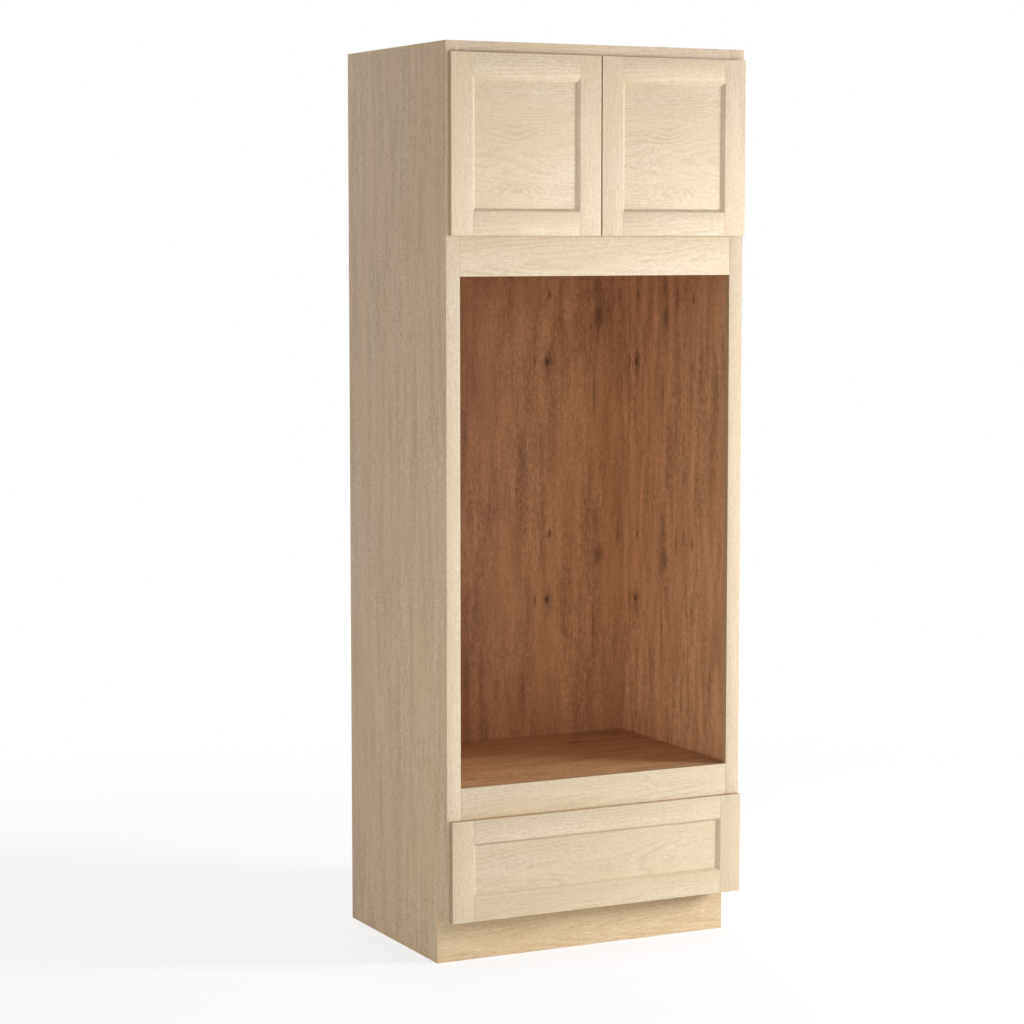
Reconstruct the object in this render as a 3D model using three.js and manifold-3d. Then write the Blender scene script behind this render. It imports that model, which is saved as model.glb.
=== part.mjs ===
/**
 * Tall oven housing unit: a face-framed kitchen cabinet with an open oven bay, two doors over it
 * and a drawer under it. Millimetres, +Z up, front towards -Y, origin at the bottom centre.
 */
import * as THREE from 'three';
import { mergeVertices } from 'three/addons/utils/BufferGeometryUtils.js';
import Module from 'manifold-3d';

const wasm = await Module();
wasm.setup();

// ---------------------------------------------------------------- driving dimensions, millimetres

// Whole unit
const UNIT_WIDTH = 838.2; // across the face frame
const UNIT_HEIGHT = 2286;
const UNIT_DEPTH = 596.9; // front of the face frame to the back

// Face frame
const FRAME_THICKNESS = 19.05;
const STILE_WIDTH = 38.1;
const BOTTOM_RAIL_WIDTH = 38.1;
const DRAWER_OPENING_HEIGHT = 187.5;
const SILL_RAIL_WIDTH = 111.5; // under the oven bay
const OVEN_OPENING_HEIGHT = 1265.4;
const HEAD_RAIL_WIDTH = 131.35; // over the oven bay
const TOP_RAIL_WIDTH = 60.05;

// Carcass boards
const SIDE_THICKNESS = 12.7;
const END_PANEL_THICKNESS = 12.7; // finished panel on the left; the right side stays this far in
const BACK_THICKNESS = 12.7;
const SHELF_THICKNESS = 12.7; // top, cupboard floor and drawer bay floor
const OVEN_FLOOR_THICKNESS = 19.05;
const DADO_DEPTH = 4.8; // how far the housed boards sit in the sides
const TOP_RECESS = 12.7; // top panel below the top edge
const CLEAT_WIDTH = 19.05;
const CLEAT_HEIGHT = 38.1;

// Toe recess
const TOE_HEIGHT = 114.3;
const TOE_SETBACK = 59.5; // front of the face frame to the toe board
const TOE_BOARD_THICKNESS = 6.35;
const TOE_BACKER_THICKNESS = 19.05;

// Doors and drawer front: frames with a sloping inner edge round a flat panel
const FRONT_THICKNESS = 18;
const FRONT_GAP = 1.5; // left by the bumpers between a front and the face frame
const OVERLAY = 32.35; // how far a front laps over the face frame
const DOOR_MEETING_GAP = 3.2;
const DRAWER_FRONT_LIFT = 2.15; // above the lower edge of the bottom rail
const MEMBER_FLAT = 58.5; // flat face of a front's stile or rail
const SLOPE_RUN = 8;
const SLOPE_DEPTH = 7.7;
const PANEL_THICKNESS = 6.35;
const PANEL_GROOVE_DEPTH = 9.5;
const PANEL_EDGE_ROOM = 1.5;
const COPE_GAP = 0.3;

// Drawer box
const BOX_SIDE_THICKNESS = 15.9;
const BOX_HEIGHT = 152.4;
const BOX_REAR_ROOM = 52.3; // to the back panel
const BOX_RISE = 14; // above the bottom rail
const BOX_BOTTOM_THICKNESS = 6.35;
const BOX_BOTTOM_RISE = 9.5;
const BOX_GROOVE_DEPTH = 6.35;
const BOX_BOTTOM_ROOM = 0.6;
const TAIL_COUNT = 5;
const TAIL_SHARE = 0.58; // of each tail's pitch, at its root
const TAIL_FLARE = 0.14; // widening per millimetre of tail, on each flank
const DOVETAIL_GAP = 0.2;

// Drawer slides
const SLIDE_THICKNESS = 12.7;
const SLIDE_HEIGHT = 45.7;
const SLIDE_SETBACK = 1.6; // front end behind the front of the face frame
const SLIDE_END_ROOM = 22.3; // rear end short of the box's rear
const SLIDE_RISE = 63.5; // centre line above the bottom of the box
const SLIDE_SHEET = 1.2;
const SLIDE_BALL = 2.75; // height of a ball track
const MIDDLE_SHORTENING = 1.6; // at each end of the middle member
const RUNNING_GAP = 0.3;
const SPACER_HEIGHT = 76.2;
const SPACER_OVERRUN = 25; // past the rear end of the slides

// Door hinges. A plan point is [inward from the door's outer edge, back from the door's face].
const CUP_RADIUS = 17.5;
const CUP_DEPTH = 11.5;
const CUP_WALL = 1;
const CUP_CENTRE_IN = 21.5;
const CUP_FLANGE = { thickness: 1, height: 52, width: 21, screwRadius: 1.9, screwSpacing: 42 };
const CUP_BORE_GAP = 0.3;
const DOOR_PIVOT = [12, 15.5];
const ARM_PIVOT = [34, 12.5];
const EYE_RADIUS = 2.4;
const PIN_RADIUS = 1.3;
const LINK_HALF_HEIGHT = 4.6;
const LINK_THICKNESS = 2.4;
const EAR_THICKNESS = 1.5;
const ARM_PLATE = { thickness: 2, height: 56, screwRadius: 2.2, screwSpacing: 40, edgeRoom: 1 };
const ARM_EAR_REACH = 10.5; // how far the ears run back along the base plate
const HINGE_END_DISTANCE = 76; // hinge centre to the door's top or bottom edge

// Facets of round forms
const CUP_SIDES = 28;
const PIN_SIDES = 12;

// ------------------------------------------------------------------------------- derived places

/** Moves a depth measured from the front of the face frame into the unit's own frame. */
const ORIGIN_DEPTH = (UNIT_DEPTH - FRONT_THICKNESS - FRONT_GAP) / 2;
const behindFrame = (depth) => depth - ORIGIN_DEPTH;

const FRAME_FRONT = behindFrame(0);
const FRAME_BACK = behindFrame(FRAME_THICKNESS);
const UNIT_BACK = behindFrame(UNIT_DEPTH);
const BACK_FACE = behindFrame(UNIT_DEPTH - BACK_THICKNESS);
const FRONTS_BACK = behindFrame(-FRONT_GAP);
const FRONTS_FACE = behindFrame(-FRONT_GAP - FRONT_THICKNESS);

const HALF_WIDTH = UNIT_WIDTH / 2;
const HALF_OPENING = HALF_WIDTH - STILE_WIDTH;
const HALF_FRONTS = HALF_OPENING + OVERLAY;
const HALF_BOX = HALF_WIDTH - END_PANEL_THICKNESS; // outer faces of the two sides
const HALF_INSIDE = HALF_BOX - SIDE_THICKNESS;
const HALF_SHELF = HALF_INSIDE + DADO_DEPTH;

const DRAWER_SILL = TOE_HEIGHT + BOTTOM_RAIL_WIDTH;
const DRAWER_HEAD = DRAWER_SILL + DRAWER_OPENING_HEIGHT;
const OVEN_SILL = DRAWER_HEAD + SILL_RAIL_WIDTH;
const OVEN_HEAD = OVEN_SILL + OVEN_OPENING_HEIGHT;
const CUPBOARD_SILL = OVEN_HEAD + HEAD_RAIL_WIDTH;
const CUPBOARD_HEAD = UNIT_HEIGHT - TOP_RAIL_WIDTH;

const TOE_BOARD_FACE = behindFrame(TOE_SETBACK);
const TOE_BOARD_BACK = behindFrame(TOE_SETBACK + TOE_BOARD_THICKNESS);

const MEMBER_WIDTH = MEMBER_FLAT + SLOPE_RUN;
const GROOVE_FLOOR = MEMBER_WIDTH - PANEL_GROOVE_DEPTH;
const PANEL_BACK = SLOPE_DEPTH + PANEL_THICKNESS;

const HALF_DRAWER_BOX = HALF_OPENING - SLIDE_THICKNESS;
const BOX_UNDERSIDE = DRAWER_SILL + BOX_RISE;
const BOX_TOP = BOX_UNDERSIDE + BOX_HEIGHT;
const BOX_REAR = BACK_FACE - BOX_REAR_ROOM;
const SLIDE_CENTRE = BOX_UNDERSIDE + SLIDE_RISE;
const SLIDE_FRONT = behindFrame(SLIDE_SETBACK);
const SLIDE_REAR = BOX_REAR - SLIDE_END_ROOM;

const LEFT = -1;
const RIGHT = 1;

// ------------------------------------------------------------------------------------ materials

const standard = (color, roughness, metalness = 0) =>
  new THREE.MeshStandardMaterial({ color, roughness, metalness });
const OAK = standard(0xe6d0ae, 0.62);
const OAK_END = standard(0xd9c09c, 0.66);
const WALNUT = standard(0x8c6142, 0.6);
const BIRCH = standard(0xe3cfa8, 0.55);
const ZINC = standard(0xb9bcbe, 0.34, 1);
const NICKEL = standard(0xc6c3bd, 0.28, 1);

// ------------------------------------------------------------------------------- solid helpers

const X = new THREE.Vector3(1, 0, 0);
const Y = new THREE.Vector3(0, 1, 0);
const Z = new THREE.Vector3(0, 0, 1);

/** Puts a geometry's points on a fine grid, so that faces that meet share the same numbers. */
const GRID = 1 / 1024;
function onGrid(geometry) {
  const { array } = geometry.attributes.position;
  for (let i = 0; i < array.length; i += 1) array[i] = Math.round(array[i] / GRID) * GRID;
  return geometry;
}

/** A block between two limits on each axis. */
function block([x0, x1], [y0, y1], [z0, z1]) {
  const geometry = new THREE.BoxGeometry(x1 - x0, y1 - y0, z1 - z0);
  return onGrid(geometry.translate((x0 + x1) / 2, (y0 + y1) / 2, (z0 + z1) / 2));
}

/** Extrudes an outline of [a, b] points by a length, before it is turned to its axis. */
function extrude(outline, length) {
  const shape = new THREE.Shape(outline.map(([a, b]) => new THREE.Vector2(a, b)));
  return new THREE.ExtrudeGeometry(shape, { depth: length, bevelEnabled: false });
}

/** An [x, y] outline run between two heights. */
const prismZ = (outline, [z0, z1]) => onGrid(extrude(outline, z1 - z0).translate(0, 0, z0));

/** A [y, z] outline run between two places across the unit. */
const prismX = (outline, [x0, x1]) => {
  const geometry = extrude(outline, x1 - x0).applyMatrix4(new THREE.Matrix4().makeBasis(Y, Z, X));
  return onGrid(geometry.translate(x0, 0, 0));
};

/** An [x, z] outline run between two depths. */
const prismY = (outline, [y0, y1]) => {
  const turn = new THREE.Matrix4().makeBasis(X, Z, Y.clone().negate());
  return onGrid(extrude(outline, y1 - y0).applyMatrix4(turn).translate(0, y1, 0));
};

/** An upright cylinder between two heights. */
function pillar([x, y], radius, [z0, z1], sides) {
  const geometry = new THREE.CylinderGeometry(radius, radius, z1 - z0, sides);
  return onGrid(geometry.rotateX(Math.PI / 2).translate(x, y, (z0 + z1) / 2));
}

/** A cylinder lying along the depth of the unit. */
function barrel([x, z], radius, [y0, y1], sides) {
  const geometry = new THREE.CylinderGeometry(radius, radius, y1 - y0, sides);
  return onGrid(geometry.translate(x, (y0 + y1) / 2, z));
}

/** A cylinder lying across the unit. */
function rod([y, z], radius, [x0, x1], sides) {
  const geometry = new THREE.CylinderGeometry(radius, radius, x1 - x0, sides);
  return onGrid(geometry.rotateZ(Math.PI / 2).translate((x0 + x1) / 2, y, z));
}

/** A closed geometry as a solid for joining and cutting. */
function solidOf(geometry) {
  const bare = geometry.clone();
  bare.deleteAttribute('normal');
  bare.deleteAttribute('uv');
  const merged = mergeVertices(bare);
  return new wasm.Manifold(
    new wasm.Mesh({
      numProp: 3,
      vertProperties: new Float32Array(merged.attributes.position.array),
      triVerts: new Uint32Array(merged.index.array),
    }),
  );
}

/** A solid's surface as a geometry. */
function geometryOf(solid) {
  const surface = solid.getMesh();
  const geometry = new THREE.BufferGeometry();
  geometry.setAttribute('position', new THREE.BufferAttribute(surface.vertProperties, 3));
  geometry.setIndex(new THREE.BufferAttribute(surface.triVerts, 1));
  onGrid(geometry).computeVertexNormals();
  return geometry;
}

/** Joins some geometries and takes others away. */
function carve(kept, removed = []) {
  const joined = kept.map(solidOf).reduce((whole, piece) => whole.add(piece));
  const left = removed.map(solidOf).reduce((whole, piece) => whole.subtract(piece), joined);
  return geometryOf(left);
}

const ordered = (a, b) => (a < b ? [a, b] : [b, a]);

// --------------------------------------------------------------------------------- face frame

function faceFrame() {
  const depth = [FRAME_FRONT, FRAME_BACK];
  const upright = [TOE_HEIGHT, UNIT_HEIGHT];
  const between = [-HALF_OPENING, HALF_OPENING];
  const rail = (name, height) => [name, block(between, depth, height), OAK];
  return [
    ['frame_left_stile', block([-HALF_WIDTH, -HALF_OPENING], depth, upright), OAK],
    ['frame_right_stile', block([HALF_OPENING, HALF_WIDTH], depth, upright), OAK],
    rail('frame_bottom_rail', [TOE_HEIGHT, DRAWER_SILL]),
    rail('frame_sill_rail', [DRAWER_HEAD, OVEN_SILL]),
    rail('frame_head_rail', [OVEN_HEAD, CUPBOARD_SILL]),
    rail('frame_top_rail', [CUPBOARD_HEAD, UNIT_HEIGHT]),
  ];
}

// ------------------------------------------------------------------------------------- carcass

/** Heights of the level boards that are housed in the sides. */
const HOUSED = {
  drawerFloor: [DRAWER_SILL - SHELF_THICKNESS, DRAWER_SILL],
  cupboardFloor: [CUPBOARD_SILL - SHELF_THICKNESS, CUPBOARD_SILL],
  top: [UNIT_HEIGHT - TOP_RECESS - SHELF_THICKNESS, UNIT_HEIGHT - TOP_RECESS],
};

/** The oven floor lies between the sides on its cleats, level with the rail in front of it. */
const OVEN_FLOOR_HEIGHT = [OVEN_SILL - OVEN_FLOOR_THICKNESS, OVEN_SILL];

/** Side view of an upright panel, with the toe recess cut from its lower front corner. */
const SIDE_OUTLINE = [
  [TOE_BOARD_BACK, 0],
  [UNIT_BACK, 0],
  [UNIT_BACK, UNIT_HEIGHT],
  [FRAME_BACK, UNIT_HEIGHT],
  [FRAME_BACK, TOE_HEIGHT],
  [TOE_BOARD_BACK, TOE_HEIGHT],
];

const inward = [FRAME_BACK, BACK_FACE];

/** One side, with the dadoes that house the level boards. */
function sidePanel(side) {
  const panel = prismX(SIDE_OUTLINE, ordered(side * HALF_INSIDE, side * HALF_BOX));
  const across = ordered(side * (HALF_INSIDE - DADO_DEPTH), side * HALF_SHELF);
  const dadoes = Object.values(HOUSED).map((height) => block(across, inward, height));
  return carve([panel], dadoes);
}

function carcass() {
  const insideSpan = [-HALF_INSIDE, HALF_INSIDE];
  const housed = (height) => block([-HALF_SHELF, HALF_SHELF], inward, height);
  const cleatHeight = [OVEN_FLOOR_HEIGHT[0] - CLEAT_HEIGHT, OVEN_FLOOR_HEIGHT[0]];
  const cleat = (side) =>
    block(ordered(side * (HALF_INSIDE - CLEAT_WIDTH), side * HALF_INSIDE), inward, cleatHeight);
  const spacerDepth = [FRAME_BACK, SLIDE_REAR + SPACER_OVERRUN];
  const spacerHeight = [SLIDE_CENTRE - SPACER_HEIGHT / 2, SLIDE_CENTRE + SPACER_HEIGHT / 2];
  const spacer = (side) =>
    block(ordered(side * HALF_OPENING, side * HALF_INSIDE), spacerDepth, spacerHeight);
  const backerDepth = [TOE_BOARD_BACK, TOE_BOARD_BACK + TOE_BACKER_THICKNESS];
  return [
    ['left_side_panel', sidePanel(LEFT), WALNUT],
    ['right_side_panel', sidePanel(RIGHT), WALNUT],
    ['left_end_panel', prismX(SIDE_OUTLINE, [-HALF_WIDTH, -HALF_BOX]), OAK_END],
    ['back_panel', block(insideSpan, [BACK_FACE, UNIT_BACK], [0, UNIT_HEIGHT]), WALNUT],
    ['top_panel', housed(HOUSED.top), WALNUT],
    ['cupboard_floor', housed(HOUSED.cupboardFloor), WALNUT],
    ['oven_floor', block(insideSpan, inward, OVEN_FLOOR_HEIGHT), WALNUT],
    ['drawer_bay_floor', housed(HOUSED.drawerFloor), WALNUT],
    ['toe_board', block([-HALF_WIDTH, HALF_BOX], [TOE_BOARD_FACE, TOE_BOARD_BACK], [0, TOE_HEIGHT]), OAK],
    ['toe_backer', block(insideSpan, backerDepth, [0, HOUSED.drawerFloor[0]]), BIRCH],
    ['left_oven_cleat', cleat(LEFT), BIRCH],
    ['right_oven_cleat', cleat(RIGHT), BIRCH],
    ['left_slide_spacer', spacer(LEFT), BIRCH],
    ['right_slide_spacer', spacer(RIGHT), BIRCH],
  ];
}

// ----------------------------------------------------------------------------- framed fronts

/** Section of a front's stile or rail: [from its outer edge, depth from the face]. */
const MEMBER_SECTION = [
  [0, 0],
  [MEMBER_FLAT, 0],
  [MEMBER_WIDTH, SLOPE_DEPTH],
  [GROOVE_FLOOR, SLOPE_DEPTH],
  [GROOVE_FLOOR, PANEL_BACK],
  [MEMBER_WIDTH, PANEL_BACK],
  [MEMBER_WIDTH, FRONT_THICKNESS],
  [0, FRONT_THICKNESS],
];

/** End of a rail: coped over the stile's slope, with a stub tenon in its groove. */
const COPED_END = [
  [MEMBER_FLAT + COPE_GAP, 0],
  [MEMBER_WIDTH + COPE_GAP, SLOPE_DEPTH],
  [GROOVE_FLOOR + PANEL_EDGE_ROOM, SLOPE_DEPTH],
  [GROOVE_FLOOR + PANEL_EDGE_ROOM, PANEL_BACK],
  [MEMBER_WIDTH + COPE_GAP, PANEL_BACK],
  [MEMBER_WIDTH + COPE_GAP, FRONT_THICKNESS],
];

/** A stile from its outer edge, running inward along +X or -X. */
function frontStile(edge, direction, height, bores = []) {
  const outline = MEMBER_SECTION.map(([across, depth]) => [edge + direction * across, FRONTS_FACE + depth]);
  return carve([prismZ(outline, height)], bores);
}

/** A rail from its outer edge, running inward along +Z or -Z, coped to both stiles. */
function frontRail(edge, direction, [x0, x1]) {
  const section = MEMBER_SECTION.map(([across, depth]) => [FRONTS_FACE + depth, edge + direction * across]);
  const leftEnd = COPED_END.map(([across, depth]) => [x0 + across, FRONTS_FACE + depth]);
  const rightEnd = COPED_END.map(([across, depth]) => [x1 - across, FRONTS_FACE + depth]).reverse();
  const rail = solidOf(prismX(section, [x0, x1]));
  const plan = solidOf(prismZ([...leftEnd, ...rightEnd], ordered(edge, edge + direction * MEMBER_WIDTH)));
  return geometryOf(rail.intersect(plan));
}

/** The flat panel, loose in its grooves. */
function frontPanel([x0, x1], [z0, z1]) {
  const inset = GROOVE_FLOOR + PANEL_EDGE_ROOM;
  const depth = [FRONTS_FACE + SLOPE_DEPTH, FRONTS_FACE + PANEL_BACK];
  return block([x0 + inset, x1 - inset], depth, [z0 + inset, z1 - inset]);
}

const DOOR_HEIGHT = [CUPBOARD_SILL - OVERLAY, CUPBOARD_HEAD + OVERLAY];
const DRAWER_FRONT_HEIGHT = [TOE_HEIGHT + DRAWER_FRONT_LIFT, DRAWER_HEAD + OVERLAY];
const HINGES = [
  ['lower', DOOR_HEIGHT[0] + HINGE_END_DISTANCE],
  ['upper', DOOR_HEIGHT[1] - HINGE_END_DISTANCE],
];

function door(side) {
  const name = side === LEFT ? 'left_door' : 'right_door';
  const outer = side * HALF_FRONTS;
  const meeting = (side * DOOR_MEETING_GAP) / 2;
  const across = ordered(outer, meeting);
  const bores = HINGES.map(([, height]) => cupBore(side, height));
  return [
    [`${name}_hinge_stile`, frontStile(outer, -side, DOOR_HEIGHT, bores), OAK],
    [`${name}_meeting_stile`, frontStile(meeting, side, DOOR_HEIGHT), OAK],
    [`${name}_bottom_rail`, frontRail(DOOR_HEIGHT[0], 1, across), OAK],
    [`${name}_top_rail`, frontRail(DOOR_HEIGHT[1], -1, across), OAK],
    [`${name}_panel`, frontPanel(across, DOOR_HEIGHT), OAK],
  ];
}

function drawerFront() {
  const across = [-HALF_FRONTS, HALF_FRONTS];
  return [
    ['drawer_front_left_stile', frontStile(-HALF_FRONTS, 1, DRAWER_FRONT_HEIGHT), OAK],
    ['drawer_front_right_stile', frontStile(HALF_FRONTS, -1, DRAWER_FRONT_HEIGHT), OAK],
    ['drawer_front_bottom_rail', frontRail(DRAWER_FRONT_HEIGHT[0], 1, across), OAK],
    ['drawer_front_top_rail', frontRail(DRAWER_FRONT_HEIGHT[1], -1, across), OAK],
    ['drawer_front_panel', frontPanel(across, DRAWER_FRONT_HEIGHT), OAK],
  ];
}

// --------------------------------------------------------------------------------- drawer box

/** Heights of the dovetails' centres. */
const TAIL_PITCH = BOX_HEIGHT / TAIL_COUNT;
const TAIL_CENTRES = Array.from({ length: TAIL_COUNT }, (_, i) => BOX_UNDERSIDE + (i + 0.5) * TAIL_PITCH);

/** One dovetail from its root to its end, low corner first, grown by a gap on each flank. */
function tailOutline(centre, root, end, gap) {
  const narrow = (TAIL_SHARE * TAIL_PITCH) / 2 + gap;
  const wide = narrow + TAIL_FLARE * Math.abs(end - root);
  return [
    [root, centre - narrow],
    [end, centre - wide],
    [end, centre + wide],
    [root, centre + narrow],
  ];
}

/** A side of the box with dovetails at both ends. */
function boxSide(side, bottomGroove) {
  const frontRoot = FRONTS_BACK + BOX_SIDE_THICKNESS;
  const rearRoot = BOX_REAR - BOX_SIDE_THICKNESS;
  const frontTails = TAIL_CENTRES.flatMap((centre) => tailOutline(centre, frontRoot, FRONTS_BACK, 0));
  const rearTails = TAIL_CENTRES.flatMap((centre) => tailOutline(centre, rearRoot, BOX_REAR, 0)).reverse();
  const outline = [
    [frontRoot, BOX_UNDERSIDE],
    ...frontTails,
    [frontRoot, BOX_TOP],
    [rearRoot, BOX_TOP],
    ...rearTails,
    [rearRoot, BOX_UNDERSIDE],
  ];
  const across = ordered(side * (HALF_DRAWER_BOX - BOX_SIDE_THICKNESS), side * HALF_DRAWER_BOX);
  return carve([prismX(outline, across)], [bottomGroove]);
}

/** The front or back of the box, with sockets for the sides' dovetails. */
function boxEnd([y0, y1], root, bottomGroove) {
  const end = root === y1 ? y0 : y1;
  const past = end + Math.sign(end - root);
  const board = block([-HALF_DRAWER_BOX, HALF_DRAWER_BOX], [y0, y1], [BOX_UNDERSIDE, BOX_TOP]);
  const socketFloor = HALF_DRAWER_BOX - BOX_SIDE_THICKNESS - DOVETAIL_GAP;
  const socketMouth = HALF_DRAWER_BOX + 1;
  const sockets = [LEFT, RIGHT].flatMap((side) =>
    TAIL_CENTRES.map((centre) => {
      const outline = tailOutline(centre, root, past, DOVETAIL_GAP);
      return prismX(outline, ordered(side * socketFloor, side * socketMouth));
    }),
  );
  return carve([board], [...sockets, bottomGroove]);
}

function drawerBox() {
  const frontInner = FRONTS_BACK + BOX_SIDE_THICKNESS;
  const rearInner = BOX_REAR - BOX_SIDE_THICKNESS;
  const halfInner = HALF_DRAWER_BOX - BOX_SIDE_THICKNESS;
  const height = [BOX_UNDERSIDE + BOX_BOTTOM_RISE, BOX_UNDERSIDE + BOX_BOTTOM_RISE + BOX_BOTTOM_THICKNESS];
  const sheet = (reach) =>
    block([-halfInner - reach, halfInner + reach], [frontInner - reach, rearInner + reach], height);
  const groove = sheet(BOX_GROOVE_DEPTH);
  return [
    ['drawer_box_left_side', boxSide(LEFT, groove), BIRCH],
    ['drawer_box_right_side', boxSide(RIGHT, groove), BIRCH],
    ['drawer_box_front', boxEnd([FRONTS_BACK, frontInner], frontInner, groove), BIRCH],
    ['drawer_box_back', boxEnd([rearInner, BOX_REAR], rearInner, groove), BIRCH],
    ['drawer_box_bottom', sheet(BOX_GROOVE_DEPTH - BOX_BOTTOM_ROOM), BIRCH],
  ];
}

// ------------------------------------------------------------------------------ drawer slides

/**
 * Section of a slide member, as [in from the face frame's opening, height] points: a channel whose
 * web stands at one place and whose flanges reach to another, with a ball track on each flange.
 */
function channelSection({ web, reach, half, track }) {
  const way = Math.sign(reach - web);
  const webInner = web + way * SLIDE_SHEET;
  const inner = half - SLIDE_SHEET;
  const flange = track
    ? [
        [track[0], half],
        [track[0], half + SLIDE_BALL],
        [track[1], half + SLIDE_BALL],
        [track[1], half],
      ]
    : [];
  const upper = [[web, half], ...flange, [reach, half], [reach, inner], [webInner, inner]];
  const lower = upper.map(([across, height]) => [across, -height]).reverse();
  return [...upper, ...lower];
}

const CABINET_HALF = SLIDE_HEIGHT / 2;
const MIDDLE_HALF = CABINET_HALF - SLIDE_SHEET - RUNNING_GAP - SLIDE_BALL;
const DRAWER_HALF = MIDDLE_HALF - SLIDE_SHEET - RUNNING_GAP - SLIDE_BALL;
const MIDDLE_WEB = SLIDE_SHEET + RUNNING_GAP;
const MEMBERS = {
  cabinet_member: {
    section: channelSection({ web: 0, reach: 9.5, half: CABINET_HALF }),
    depth: [SLIDE_FRONT, SLIDE_REAR],
  },
  middle_member: {
    section: channelSection({ web: MIDDLE_WEB, reach: 10.5, half: MIDDLE_HALF, track: [3.5, 8.5] }),
    depth: [SLIDE_FRONT + MIDDLE_SHORTENING, SLIDE_REAR - MIDDLE_SHORTENING],
  },
  drawer_member: {
    section: channelSection({ web: SLIDE_THICKNESS, reach: 4, half: DRAWER_HALF, track: [10, 5.5] }),
    depth: [SLIDE_FRONT, SLIDE_REAR],
  },
};

function slide(side) {
  const name = side === LEFT ? 'left_slide' : 'right_slide';
  return Object.entries(MEMBERS).map(([member, { section, depth }]) => {
    const outline = section.map(([across, height]) => [side * (HALF_OPENING - across), SLIDE_CENTRE + height]);
    return [`${name}_${member}`, prismY(outline, depth), ZINC];
  });
}

// -------------------------------------------------------------------------------- door hinges

/** A hinge's plan point in the unit's frame. */
const hingePoint = (side, [inwards, depth]) => [side * (HALF_FRONTS - inwards), FRONTS_FACE + depth];
const hingeAcross = (side, from, to) => ordered(side * (HALF_FRONTS - from), side * (HALF_FRONTS - to));
const about = (centre, half) => [centre - half, centre + half];

const CUP_FLOOR = FRONT_THICKNESS - CUP_DEPTH;
const STILE_EDGE_IN = OVERLAY; // the frame stile's inner edge, in from the door's outer edge
const STILE_FACE_DEPTH = FRONT_THICKNESS + FRONT_GAP;
const EAR_INNER = LINK_HALF_HEIGHT + RUNNING_GAP;
const EAR_OUTER = EAR_INNER + EAR_THICKNESS;
const EYE_BORE = (PIN_RADIUS + RUNNING_GAP) / Math.cos(Math.PI / PIN_SIDES);
const EAR_SIDES = [-1, 1];

/** The hole in a door stile for a hinge cup. */
function cupBore(side, height) {
  const [x] = hingePoint(side, [CUP_CENTRE_IN, 0]);
  const depth = [FRONTS_FACE + CUP_FLOOR - CUP_BORE_GAP, FRONTS_BACK + 1];
  return barrel([x, height], CUP_RADIUS + CUP_BORE_GAP, depth, CUP_SIDES);
}

/** Height limits of the ear over or under a hinge's centre. */
const earHeight = (height, up) => ordered(height + up * EAR_INNER, height + up * EAR_OUTER);

/** Cup, flange, the two ears inside it and the pin that the link turns on. */
function hingeCup(side, height) {
  const [x] = hingePoint(side, [CUP_CENTRE_IN, 0]);
  const { thickness, height: flangeHeight, width, screwRadius, screwSpacing } = CUP_FLANGE;
  const floor = FRONTS_FACE + CUP_FLOOR;
  const flangeDepth = [FRONTS_BACK, FRONTS_BACK + thickness];
  const pivot = hingePoint(side, DOOR_PIVOT);
  const body = barrel([x, height], CUP_RADIUS, [floor, flangeDepth[1]], CUP_SIDES);
  const flange = block(about(x, width / 2), flangeDepth, about(height, flangeHeight / 2));
  const hollow = barrel([x, height], CUP_RADIUS - CUP_WALL, [floor + CUP_WALL, flangeDepth[1] + 1], CUP_SIDES);
  const screwDepth = [flangeDepth[0] - 1, flangeDepth[1] + 1];
  const screws = EAR_SIDES.map((up) =>
    barrel([x, height + (up * screwSpacing) / 2], screwRadius, screwDepth, PIN_SIDES),
  );
  const shell = carve([body, flange], [hollow, ...screws]);
  const ears = EAR_SIDES.flatMap((up) => [
    block(about(pivot[0], EYE_RADIUS), [floor + CUP_WALL / 2, pivot[1]], earHeight(height, up)),
    pillar(pivot, EYE_RADIUS, earHeight(height, up), PIN_SIDES),
  ]);
  const pin = pillar(pivot, PIN_RADIUS, about(height, EAR_OUTER - EAR_THICKNESS / 2), PIN_SIDES);
  return carve([shell, ...ears, pin]);
}

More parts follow.
